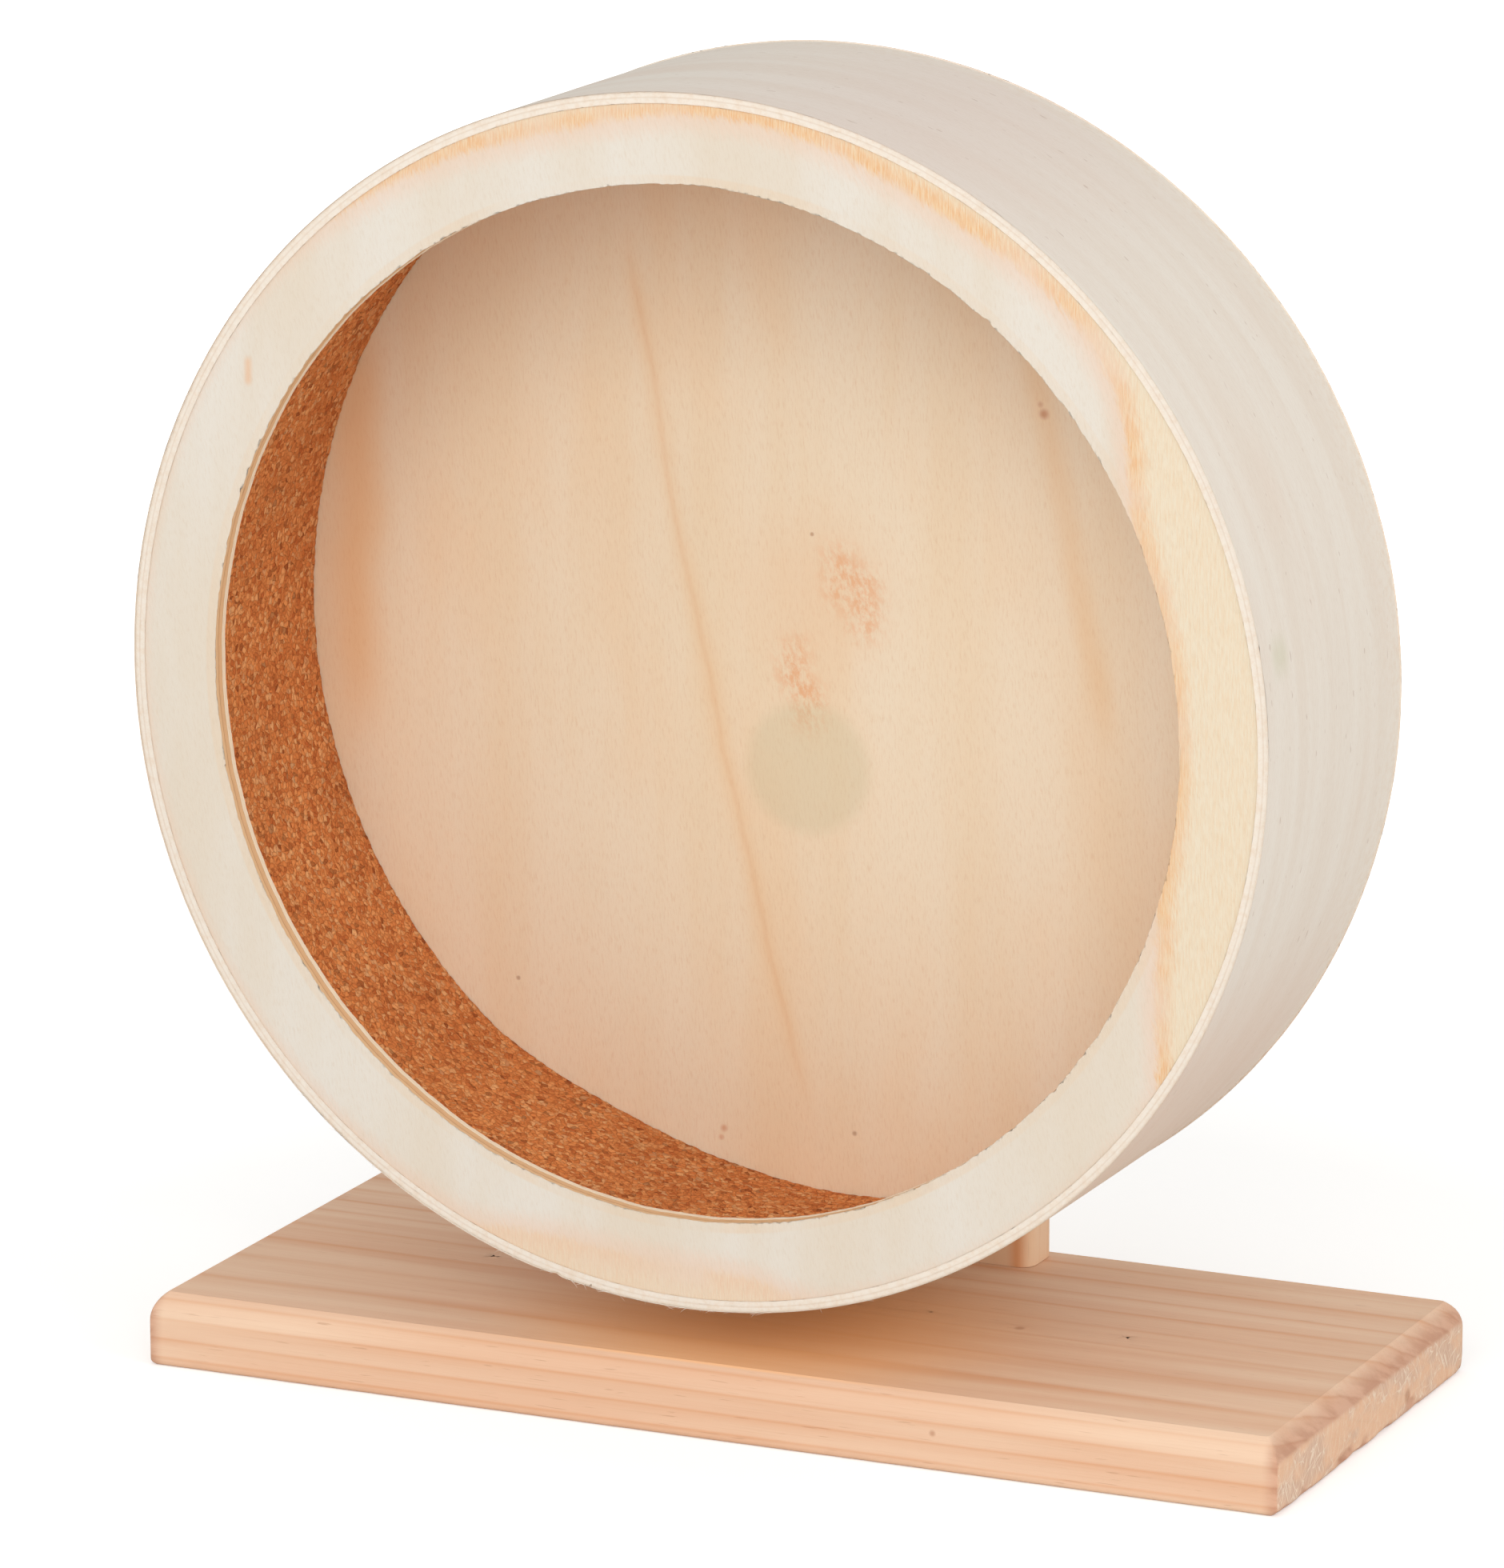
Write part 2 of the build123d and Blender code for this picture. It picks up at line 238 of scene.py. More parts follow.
class Finish:
    """A surface finish, put together from sums, patterns and colour ramps in millimetres."""

    def __init__(self, name, centre=(0, 0, 0), roughness=0.6, metallic=0.0, gloss=0.3):
        self.material = bpy.data.materials.new(name)
        self.material.use_nodes = True
        self.tree = self.material.node_tree
        self.shader = self.tree.nodes["Principled BSDF"]
        self.shader.inputs["Roughness"].default_value = roughness
        self.shader.inputs["Metallic"].default_value = metallic
        self.shader.inputs["Specular IOR Level"].default_value = gloss
        place = self.add("ShaderNodeTexCoord").outputs["Object"]
        mapping = self.add("ShaderNodeMapping")
        self.tree.links.new(place, mapping.inputs["Vector"])
        mapping.inputs["Scale"].default_value = (1 / MM,) * 3
        mapping.inputs["Location"].default_value = [-value for value in centre]
        self.place = mapping.outputs["Vector"]
        self.x, self.y, self.z = self.add("ShaderNodeSeparateXYZ", Vector=self.place).outputs

    def add(self, kind, **inputs):
        """A node with its named inputs set or joined up."""
        node = self.tree.nodes.new(kind)
        for name, value in inputs.items():
            self.put(node.inputs[name], value)
        return node

    def put(self, socket, value):
        """Set an input, or join another node's output to it; a colour may be three numbers from 0 to 255."""
        if isinstance(value, bpy.types.NodeSocket):
            self.tree.links.new(value, socket)
        elif socket.type == "RGBA" and len(value) == 3:
            socket.default_value = tone(*value)
        else:
            socket.default_value = value

    def sum(self, operation, first, second=0.0, third=0.0):
        """One step of arithmetic."""
        node = self.tree.nodes.new("ShaderNodeMath")
        node.operation = operation
        for socket, value in zip(node.inputs, (first, second, third)):
            self.put(socket, value)
        return node.outputs[0]

    def band(self, value, low, high, start=0.0, end=1.0):
        """Smooth step of a value from start to end between low and high."""
        node = self.tree.nodes.new("ShaderNodeMapRange")
        node.interpolation_type = "SMOOTHSTEP"
        names = ("Value", "From Min", "From Max", "To Min", "To Max")
        for name, number in zip(names, (value, low, high, start, end)):
            self.put(node.inputs[name], number)
        return node.outputs[0]

    def stretched(self, scale, source=None, turn=(0, 0, 0)):
        """The place, turned and then scaled along each axis."""
        turned_place = self.add("ShaderNodeMapping", Vector=source or self.place, Rotation=turn).outputs[0]
        return self.add("ShaderNodeMapping", Vector=turned_place, Scale=scale).outputs[0]

    def cloud(self, scale, detail=3.0, roughness=0.55, source=None, turn=(0, 0, 0)):
        """Soft random pattern about 0.5; scale is its waves per mm along each axis."""
        node = self.add("ShaderNodeTexNoise", Vector=self.stretched(scale, source, turn), Scale=1.0)
        node.inputs["Detail"].default_value = detail
        node.inputs["Roughness"].default_value = roughness
        return node.outputs[0]

    def ramp(self, value, stops):
        """Colour ramp through (place, colour or grey) stops, a colour being three numbers from 0 to 255."""
        node = self.add("ShaderNodeValToRGB", Fac=value)
        elements = node.color_ramp.elements
        while len(elements) < len(stops):
            elements.new(0.5)
        for element, (at, colour) in zip(elements, sorted(stops, key=lambda stop: stop[0])):
            element.position = at
            element.color = tone(*colour) if isinstance(colour, tuple) else (colour, colour, colour, 1.0)
        return node.outputs["Color"]

    def mix(self, share, first, second):
        """Two colours mixed by a share."""
        node = self.tree.nodes.new("ShaderNodeMix")
        node.data_type = "RGBA"
        for index, value in ((0, share), (6, first), (7, second)):
            self.put(node.inputs[index], value)
        return node.outputs[2]

    def tint(self, base, share, strength, colour):
        """A colour laid over another by a share times a strength."""
        return self.mix(self.sum("MULTIPLY", share, strength), base, colour)

    def off(self, value, middle):
        """How far a value is from a middle one."""
        return self.sum("ABSOLUTE", self.sum("SUBTRACT", value, middle))

    def length(self, across, up):
        """Root of across squared plus up squared."""
        return self.sum("SQRT", self.sum("ADD", self.sum("POWER", across, 2.0), self.sum("POWER", up, 2.0)))

    def distance(self, place, source=None):
        """Distance in mm from a place."""
        node = self.add("ShaderNodeVectorMath", Vector=source or self.place)
        node.operation = "DISTANCE"
        node.inputs[1].default_value = place
        return node.outputs["Value"]

    def curve(self, value, points):
        """Smooth line through (0 to 1, 0 to 1) points."""
        node = self.add("ShaderNodeFloatCurve", Value=value)
        line = node.mapping.curves[0]
        line.points[0].location = points[0]
        line.points[1].location = points[-1]
        for point in points[1:-1]:
            line.points.new(*point)
        node.mapping.update()
        return node.outputs[0]

    def streak(self, across, along, middle, width, low, high, fade=8.0):
        """Share of a soft-edged streak: across is near the middle, and along is between low and high."""
        near = self.band(self.off(across, middle), 0.0, width, 1.0, 0.0)
        begun, ended = self.band(along, low, low + fade), self.band(along, high - fade, high, 1.0, 0.0)
        inside = self.sum("MULTIPLY", begun, ended)
        return self.sum("MULTIPLY", near, inside)

    def colour(self, value):
        """Join the surface colour."""
        self.put(self.shader.inputs["Base Color"], value)

    def rough(self, value, low, high):
        """Roughness from low to high as a value goes from 0.3 to 0.7."""
        self.put(self.shader.inputs["Roughness"], self.band(value, 0.3, 0.7, low, high))

    def relief(self, *layers):
        """Fine relief: (pattern, height in mm) layers, one on another."""
        normal = None
        for value, height in layers:
            bump = self.add("ShaderNodeBump", Height=value, Strength=1.0, Distance=height * MM)
            if normal:
                self.put(bump.inputs["Normal"], normal)
            normal = bump.outputs[0]
        self.put(self.shader.inputs["Normal"], normal)


AXLE = (AXLE_X, 0, AXLE_Z)
RING_SPACING = 4.7


def pine(name, pith, grain):
    """Pine: growth rings about a pith line, fibres and resin lines along the grain axis (0 is X, 2 is Z)."""
    look = Finish(name, roughness=0.62, gloss=0.25)

    def grown(across, along, detail, roughness=0.55):
        """Cloud with its own number of waves per mm across and along the grain."""
        scale = [across] * 3
        scale[grain] = along
        return look.cloud(scale, detail, roughness)

    warp = look.sum("MULTIPLY_ADD", grown(0.2, 0.012, 2.0), 0.12, grown(0.05, 0.004, 2.0))
    first, second = (look.y, look.z) if grain == 0 else (look.x, look.y)
    first = look.sum("ADD", first, look.sum("MULTIPLY_ADD", warp, 9.0, -pith[0] - 4.5))
    second = look.sum("SUBTRACT", second, pith[1])
    share = look.sum("FRACT", look.sum("DIVIDE", look.length(first, second), RING_SPACING))
    late = look.ramp(share, [(0, 0.5), (0.08, 0.1), (0.5, 0.12), (0.82, 0.4), (0.95, 1.0), (1, 0.6)])
    fibre = grown(3.2, 0.03, 4.0, 0.6)
    wide = grown(0.11, 0.006, 3.0)
    base = look.mix(look.band(wide, 0.3, 0.7), (236, 203, 174), (229, 188, 157))
    base = look.tint(base, late, look.band(wide, 0.3, 0.7, 0.25, 0.6), (216, 152, 106))
    base = look.mix(look.band(fibre, 0.5, 0.8, 0.0, 0.2), base, (198, 146, 112))
    resin = look.band(grown(2.0, 0.12, 1.0), 0.7, 0.78)
    base = look.tint(base, resin, 0.28, (164, 108, 72))
    look.late, look.fibre = late, fibre
    look.relief((fibre, 0.05), (late, 0.04))
    look.rough(fibre, 0.55, 0.72)
    return look, base


def base_board_finish():
    """Base board: pale pine, a painted glow of warm bounced light on its top under the drum, knots, and a
    scratched, rough-sawn end.
    """
    look, base = pine("base board pine", (-107.0, -271.0), 0)
    end = look.sum("SUBTRACT", half_length, look.sum("ABSOLUTE", look.x))
    open_grain = look.band(end, 0.2, 4.2, 1.0, 0.0)
    streaks = look.ramp(look.late, [(0, (216, 168, 140)), (1, (198, 146, 118))])
    blotches = look.cloud((0.1, 0.07, 0.3), detail=4.0, roughness=0.6, turn=(0.5, 0, 0))
    streaks = look.mix(look.band(blotches, 0.42, 0.62, 0.0, 0.7), streaks, (186, 132, 104))
    base = look.tint(base, open_grain, 0.85, streaks)
    sawn = look.band(end, 0.05, 0.35, 1.0, 0.0)
    saw_lines = look.cloud((1.0, 1.3, 0.12), detail=5.0, roughness=0.75, turn=(0.3, 0, 0))
    patches = look.cloud((0.1, 0.07, 0.12), detail=3.0)
    flat_end = look.mix(look.band(patches, 0.4, 0.62), (240, 196, 160), (222, 186, 160))
    flat_end = look.mix(look.band(saw_lines, 0.5, 0.68, 0.0, 0.85), flat_end, (246, 222, 196))
    for tilt, waves in ((0.75, 0.07), (-0.5, 0.05), (1.35, 0.06)):
        field = look.cloud((0.3, 0.42, waves), detail=1.0, turn=(tilt, 0, 0))
        scratch = look.band(look.off(field, 0.5), 0.004, 0.016, 0.75, 0.0)
        flat_end = look.tint(flat_end, scratch, look.band(patches, 0.42, 0.55, 0.25, 1.0), (252, 236, 214))
    base = look.tint(base, sawn, 0.85, flat_end)
    # Painted light: a warm tone on the top face under the drum, where the drum's shadow falls, stands in for
    # light bounced off the drum.
    painted_bounce_glow = look.band(look.distance((0.0, -24.0, BASE_TOP)), 15.0, 75.0, 0.8, 0.0)
    base = look.tint(base, painted_bounce_glow, look.band(look.z, BASE_TOP - 0.6, BASE_TOP - 0.1), (252, 192, 132))
    for place, inner, outer in (
        ((half_length, 23.2, 4.5), 0.8, 2.4),
        ((55.7, -3.3, BASE_TOP), 0.4, 1.8),
        ((58.4, -61.3, 9.0), 0.2, 1.1),
    ):
        knot = look.band(look.distance(place), inner, outer, 1.0, 0.0)
        base = look.tint(base, knot, 0.45, (164, 96, 60))
    look.colour(base)
    look.relief((look.fibre, 0.05), (look.late, 0.04), (look.sum("MULTIPLY", saw_lines, sawn), 0.22))
    return look.material


def upright_finish():
    """Upright: pine with its grain up the board and an orange streak on its edge."""
    look, base = pine("upright pine", (22.0, 120.0), 2)
    base = look.mix(0.5, base, (250, 218, 180))
    warm = look.streak(look.x, look.z, 36.0, 3.0, -10.0, 240.0)
    base = look.tint(base, warm, 0.6, (232, 152, 90))
    look.colour(base)
    return look.material


def ring_finish():
    """Front ring: white sapwood, pink fringe, orange line and creamy heartwood outside it, plies on its edge.

    The heartwood starts at 115 + 25 x curve mm from the axle, where the curve runs once round the ring.
    """
    look = Finish("front ring birch", centre=AXLE, roughness=0.6, gloss=0.25)
    radius = look.length(look.x, look.z)
    angle = look.sum("MULTIPLY_ADD", look.sum("ARCTAN2", look.z, look.x), 0.5 / math.pi, 0.5)
    heartwood = [
        (0.0, 1.0), (0.172, 0.92), (0.199, 0.71), (0.236, 0.58), (0.26, 0.62), (0.283, 0.88),
        (0.30, 1.0), (0.395, 1.0), (0.409, 0.83), (0.428, 0.45), (0.448, 0.23), (0.47, 0.1),
        (0.56, 0.12), (0.578, 0.25), (0.598, 0.53), (0.612, 0.665), (0.635, 0.73), (0.672, 0.685),
        (0.708, 0.75), (0.744, 0.795), (0.787, 0.72), (0.816, 0.765), (0.854, 0.87), (0.9, 1.0),
        (1.0, 1.0),
    ]
    edge = look.sum("MULTIPLY_ADD", look.curve(angle, heartwood), 25.0, 115.0)
    ragged = look.cloud((1.5, 1.0, 0.25), detail=4.0, roughness=0.7, turn=(0, 0.5, 0))
    away = look.sum("ADD", look.sum("SUBTRACT", radius, edge), look.sum("MULTIPLY_ADD", ragged, 5.0, -2.5))
    fibre = look.cloud((2.6, 1.0, 0.45), detail=6.0, roughness=0.72, turn=(0, 0.2, 0))
    short = look.cloud((3.5, 1.0, 0.25), detail=3.0, roughness=0.6)
    slow = look.cloud((0.035, 0.2, 0.008), detail=3.0)
    white = look.mix(look.band(slow, 0.35, 0.65), (223, 215, 203), (220, 207, 189))
    fringe = look.mix(0.5, white, (229, 196, 172))
    cream = look.mix(look.band(short, 0.35, 0.7), (228, 214, 190), (226, 203, 172))
    orange = look.mix(look.band(short, 0.35, 0.65), (231, 202, 164), (226, 176, 128))
    face = look.mix(look.band(away, -6.0, -0.5), white, fringe)
    strength = look.band(look.cloud((0.04, 1.0, 0.04), detail=3.0), 0.3, 0.6, 0.35, 1.0)
    lower = look.band(look.z, -110.0, -90.0, 0.45, 1.0)
    face = look.tint(face, look.band(away, -1.2, 1.4), look.sum("MULTIPLY", strength, lower), orange)
    face = look.tint(face, look.band(away, 1.5, 6.5), lower, cream)
    face = look.mix(look.band(fibre, 0.46, 0.74, 0.0, 0.3), face, (204, 178, 148))
    mark = look.streak(look.x, look.z, -109.5, 1.6, 65.0, 73.0, 2.0)
    face = look.tint(face, mark, 0.45, (226, 164, 106))
    depth = look.sum("SUBTRACT", look.y, DRUM_FRONT)
    plies = look.ramp(
        look.sum("DIVIDE", depth, BOARD_THICKNESS),
        [
            (0.0, (226, 192, 152)), (0.28, (224, 188, 146)), (0.30, (194, 148, 108)),
            (0.33, (194, 148, 108)), (0.35, (222, 182, 138)), (0.66, (224, 186, 144)),
            (0.69, (188, 144, 104)), (0.72, (238, 222, 196)), (1.0, (240, 226, 204)),
        ],
    )
    cut = look.cloud((0.4, 3.0, 0.4), detail=4.0, roughness=0.7)
    plies = look.mix(look.band(cut, 0.45, 0.75, 0.0, 0.3), plies, (182, 134, 92))
    inside = look.band(radius, RING_OPENING + 1.8, RING_OPENING + 2.4, 1.0, 0.0)
    look.colour(look.tint(face, look.band(depth, 0.0, 0.16), inside, plies))
    look.relief((fibre, 0.05), (short, 0.03))
    look.rough(fibre, 0.55, 0.7)
    return look.material


def band_finish():
    """Bent plywood band: pale outside with the grain round it, and two plies on its edges."""
    look = Finish("bent band birch", centre=AXLE, roughness=0.55, gloss=0.3)
    radius = look.length(look.x, look.z)
    angle = look.sum("ARCTAN2", look.z, look.x)
    around = look.sum("MULTIPLY", angle, DRUM_RADIUS)
    sheet = look.add("ShaderNodeCombineXYZ", X=around, Y=look.y, Z=radius).outputs[0]
    fibre = look.cloud((0.4, 2.2, 1.0), detail=6.0, roughness=0.72, source=sheet)
    wide = look.cloud((0.006, 0.12, 0.2), detail=4.0, source=sheet)
    blotch = look.cloud((0.012, 0.03, 0.1), detail=3.0, source=sheet)
    pale = look.mix(look.band(wide, 0.35, 0.68), (233, 223, 210), (229, 216, 201))
    pale = look.mix(look.band(blotch, 0.5, 0.72, 0.0, 0.3), pale, (228, 206, 188))
    # The first streak is painted shade: a darker, pinkish tone over the top of the band.
    for middle, width, low, high, fade, strength, colour in (
        (1.25, 0.5, -70.0, 40.0, 8.0, 0.3, (222, 196, 186)),
        (-0.6, 0.35, -70.0, 40.0, 8.0, 0.45, (224, 196, 176)),
        (0.164, 0.05, -56.0, -43.0, 5.0, 0.35, (196, 196, 160)),
    ):
        pale = look.tint(pale, look.streak(angle, look.y, middle, width, low, high, fade), strength, colour)
    pale = look.mix(look.band(fibre, 0.46, 0.76, 0.0, 0.3), pale, (208, 186, 166))
    speck = look.band(look.cloud((0.25, 0.8, 1.0), detail=1.0, source=sheet), 0.735, 0.76)
    pale = look.tint(pale, speck, 0.35, (160, 118, 88))
    glue = look.band(look.off(radius, GLUE_RADIUS), 0.08, 0.22, 1.0, 0.0)
    cut = look.cloud((0.5, 0.5, 0.5), detail=4.0, roughness=0.7)
    edge = look.mix(look.band(cut, 0.4, 0.7), (233, 222, 208), (228, 211, 192))
    edge = look.tint(edge, glue, 0.22, (200, 166, 134))
    look.colour(look.mix(look.band(radius, DRUM_RADIUS - 0.4, DRUM_RADIUS - 0.1, 1.0, 0.0), pale, edge))
    look.relief((fibre, 0.04), (wide, 0.03))
    look.rough(fibre, 0.5, 0.66)
    return look.material


def disc_finish():
    """Back disc: warm birch with the grain up it, orange heart lines, small knots and a grey stain."""
    look = Finish("back disc birch", centre=AXLE, roughness=0.6, gloss=0.25)
    wander = look.cloud((0.02, 0.1, 0.03), detail=3.0)
    x = look.sum("ADD", look.x, look.sum("MULTIPLY_ADD", wander, 6.0, -3.0))
    z = look.z
    fibre = look.cloud((2.4, 1.0, 0.4), detail=6.0, roughness=0.72, turn=(0, 0.1, 0))
    wide = look.cloud((0.05, 0.2, 0.006), detail=3.0)
    blotch = look.cloud((0.03, 0.2, 0.012), detail=2.0, turn=(0, 0.15, 0))
    base = look.mix(look.band(wide, 0.35, 0.68), (245, 230, 203), (243, 223, 191))
    base = look.mix(look.band(blotch, 0.45, 0.75, 0.0, 0.5), base, (245, 216, 178))
    base = look.mix(look.band(fibre, 0.46, 0.74, 0.0, 0.32), base, (218, 174, 128))
    bend = look.sum("MULTIPLY_ADD", z, look.sum("MULTIPLY_ADD", z, 0.00025, -0.2206), -32.8)
    lean = look.sum("MULTIPLY_ADD", z, -0.218, 66.5)
    for middle, width, low, high, fade, strength, colour in (
        (bend, 4.5, -122.0, 104.0, 30.0, 0.24, (238, 190, 134)),
        (bend, 1.4, -118.0, 100.0, 30.0, 0.18, (226, 172, 116)),
        (lean, 6.0, -26.0, 88.0, 25.0, 0.3, (238, 186, 122)),
        (-122.0, 11.0, -45.0, 80.0, 35.0, 0.5, (240, 184, 118)),
    ):
        base = look.tint(base, look.streak(x, z, middle, width, low, high, fade), strength, colour)
    patchy = look.cloud((0.5, 1.0, 0.28), detail=6.0, roughness=0.75, turn=(0, 0.35, 0))
    for middle, low, high in ((3.0, 4.0, 27.0), (9.0, -3.0, 22.0), (-8.0, -17.0, 4.0), (-4.0, -26.0, -6.0)):
        fleck = look.sum("MULTIPLY", look.streak(x, z, middle, 8.0, low, high), look.band(patchy, 0.4, 0.62))
        base = look.tint(base, fleck, 0.62, (236, 166, 110))
    flat = look.add("ShaderNodeCombineXYZ", X=look.x, Z=look.z).outputs[0]
    for place, inner, outer, strength, colour in (
        ((53.9, 0, 58.0), 0.2, 1.8, 0.6, (186, 104, 66)),
        ((53.0, 0, 60.2), 0.1, 1.1, 0.4, (196, 124, 84)),
        ((-4.0, 0, 25.1), 0.2, 0.7, 0.6, (150, 96, 60)),
        ((7.2, 0, -117.8), 0.2, 0.9, 0.5, (150, 96, 60)),
        ((-80.3, 0, -89.3), 0.2, 0.8, 0.5, (150, 96, 60)),
        ((-26.5, 0, -120.3), 0.2, 1.3, 0.5, (206, 126, 72)),
        ((-27.2, 0, -122.6), 0.2, 1.0, 0.4, (206, 126, 72)),
        ((-4.9, 0, -30.7), 13.0, 18.0, 0.36, (212, 204, 168)),
        ((-2.0, 0, 12.0), 4.0, 30.0, 0.22, (240, 192, 146)),
    ):
        base = look.mix(look.band(look.distance(place, flat), inner, outer, strength, 0.0), base, colour)
    look.colour(base)
    look.relief((fibre, 0.05), (wide, 0.03))
    look.rough(fibre, 0.55, 0.7)
    return look.material


GRANULES_PER_MM = 0.78


def cork_finish():
    """Pressed cork: orange-brown granules, dark specks between them and a few pale slivers."""
    look = Finish("pressed cork", centre=AXLE, roughness=0.85, gloss=0.15)
    wavy = look.cloud((0.6, 0.6, 0.6), detail=2.0)
    moved = look.add("ShaderNodeVectorMath", Vector=look.place)
    moved.operation = "ADD"
    look.put(moved.inputs[1], look.sum("MULTIPLY_ADD", wavy, 1.2, -0.6))
    cells = look.stretched((GRANULES_PER_MM,) * 3, moved.outputs[0])
    granule = look.add("ShaderNodeTexVoronoi", Vector=cells, Scale=1.0)
    number = look.add("ShaderNodeSeparateColor", Color=granule.outputs["Color"]).outputs
    edges = look.add("ShaderNodeTexVoronoi", Vector=cells, Scale=1.0)
    edges.feature = "DISTANCE_TO_EDGE"
    gap = edges.outputs["Distance"]
    body = look.ramp(
        number[0],
        [
            (0.0, (200, 112, 60)), (0.2, (224, 138, 78)), (0.5, (238, 152, 88)),
            (0.8, (246, 168, 104)), (1.0, (250, 192, 134)),
        ],
    )
    fleck = look.cloud((1.7, 1.7, 1.7), detail=4.0, roughness=0.7)
    body = look.mix(look.band(fleck, 0.54, 0.68, 0.0, 0.5), body, (172, 92, 48))
    body = look.mix(look.band(fleck, 0.26, 0.4, 0.6, 0.0), body, (226, 152, 96))
    body = look.mix(look.band(gap, 0.0, 0.08, 0.36, 0.0), body, (150, 76, 38))
    body = look.tint(body, look.band(number[1], 0.94, 0.95), 0.5, (120, 60, 30))
    body = look.tint(body, look.band(number[2], 0.95, 0.97), 0.6, (240, 190, 140))
    broad = look.cloud((0.04, 0.04, 0.04), detail=2.0)
    body = look.mix(look.band(broad, 0.35, 0.7, 0.0, 0.2), body, (176, 96, 48))
    look.colour(body)
    look.relief((look.band(gap, 0.0, 0.2), 0.25), (fleck, 0.15))
    look.rough(fleck, 0.78, 0.95)
    return look.material


def hub_finish():
    """Hub: birch block cut from thick plywood, its plies showing as stripes on its edge."""
    look = Finish("hub plywood", centre=AXLE, roughness=0.6, gloss=0.25)
    fibre = look.cloud((0.035, 1.0, 2.2), detail=5.0, roughness=0.62)
    wide = look.cloud((0.01, 0.2, 0.09), detail=3.0)
    face = look.mix(look.band(wide, 0.35, 0.68), (238, 220, 192), (226, 200, 166))
    face = look.mix(look.band(fibre, 0.5, 0.8, 0.0, 0.35), face, (202, 166, 128))
    share = look.sum("FRACT", look.sum("DIVIDE", look.sum("SUBTRACT", look.y, hub_front), 3.0))
    stripes = look.ramp(
        share,
        [
            (0.0, (126, 82, 52)), (0.05, (216, 180, 140)), (0.48, (222, 188, 148)),
            (0.52, (128, 84, 54)), (0.57, (196, 150, 108)), (0.96, (190, 144, 102)),
            (1.0, (126, 82, 52)),
        ],
    )
    cut = look.cloud((0.5, 2.5, 0.5), detail=4.0, roughness=0.7)
    stripes = look.mix(look.band(cut, 0.45, 0.75, 0.0, 0.35), stripes, (150, 106, 72))
    rim = look.band(look.length(look.x, look.z), hub_radius - 0.7, hub_radius - 0.4)
    look.colour(look.mix(rim, face, stripes))
    look.relief((fibre, 0.04), (cut, 0.03))
    look.rough(fibre, 0.52, 0.68)
    return look.material


def metal_finish(name, colour, roughness, brushed=(1.5, 1.5, 1.5)):
    """Bare or plated metal with fine marks and slightly uneven gloss."""
    look = Finish(name, centre=AXLE, roughness=roughness, metallic=1.0, gloss=0.5)
    marks = look.cloud(brushed, detail=4.0, roughness=0.6)
    worn = look.cloud((0.25, 0.25, 0.25), detail=3.0)
    dull = tuple(value * 0.72 for value in colour[:3]) + (1.0,)
    look.colour(look.mix(look.band(worn, 0.35, 0.7), colour, dull))
    look.relief((marks, 0.02))
    look.rough(worn, roughness - 0.06, roughness + 0.12)
    return look.material


def nylon_finish():
    """Milky nylon of the lock nut's collar."""
    look = Finish("nylon collar", centre=AXLE, roughness=0.45, gloss=0.4)
    haze = look.cloud((0.8, 0.8, 0.8), detail=3.0)
    look.colour(look.mix(look.band(haze, 0.3, 0.7), (232, 232, 226), (214, 214, 208)))
    look.relief((haze, 0.02))
    return look.material


# Drum

DRUM_FRONT, DRUM_BACK, DRUM_RADIUS = round_size("rim_band")
BAND_THICKNESS = 2.75
BAND_BORE = DRUM_RADIUS - BAND_THICKNESS
BOARD_THICKNESS = 5.0
RING_BACK = DRUM_FRONT + BOARD_THICKNESS
DISC_FRONT = DRUM_BACK - BOARD_THICKNESS
RING_OPENING = 119.2
GLUE_RADIUS = 138.6
GLUE_LOW, GLUE_HIGH = 138.45, 138.75
OUTSIDE_FROM, OUTSIDE_TO = 139.0, 139.9
SEAM_ANGLE = math.radians(-100)
SEAM_DEPTH = 0.6
SEAM_HALF_WIDTH = 0.27
NICK_ANGLE = math.radians(-103.6)
NICK_DEPTH = 0.55
TORN_ANGLE = -0.654
CORK_SEAM = math.radians(-117.5)
CORK_SEAM_GAP = 0.1
CORK_THICKNESS = 3.85
CORK_BORE = BAND_BORE - CORK_THICKNESS
CORK_LIFT = 3.4
CORK_LIFT_DEGREES = -111
CORK_LIFT_BELOW, CORK_LIFT_ABOVE = 20.0, 30.0
CORK_LIFT_POWER = 1.3
SPLINTERS = (
    (52.4, 0.5, 1.0), (61, 0.3, 1.0), (38, 0.3, 0.8),
    (-41, 0.4, 1.0), (160, 0.3, 0.9), (-135, 0.3, 1.1),
)


def round_places(angle, depth, radius):
    """Points in space, for patterns that must meet up all the way round."""
    return np.stack([radius * np.cos(angle), depth, radius * np.sin(angle)], -1)


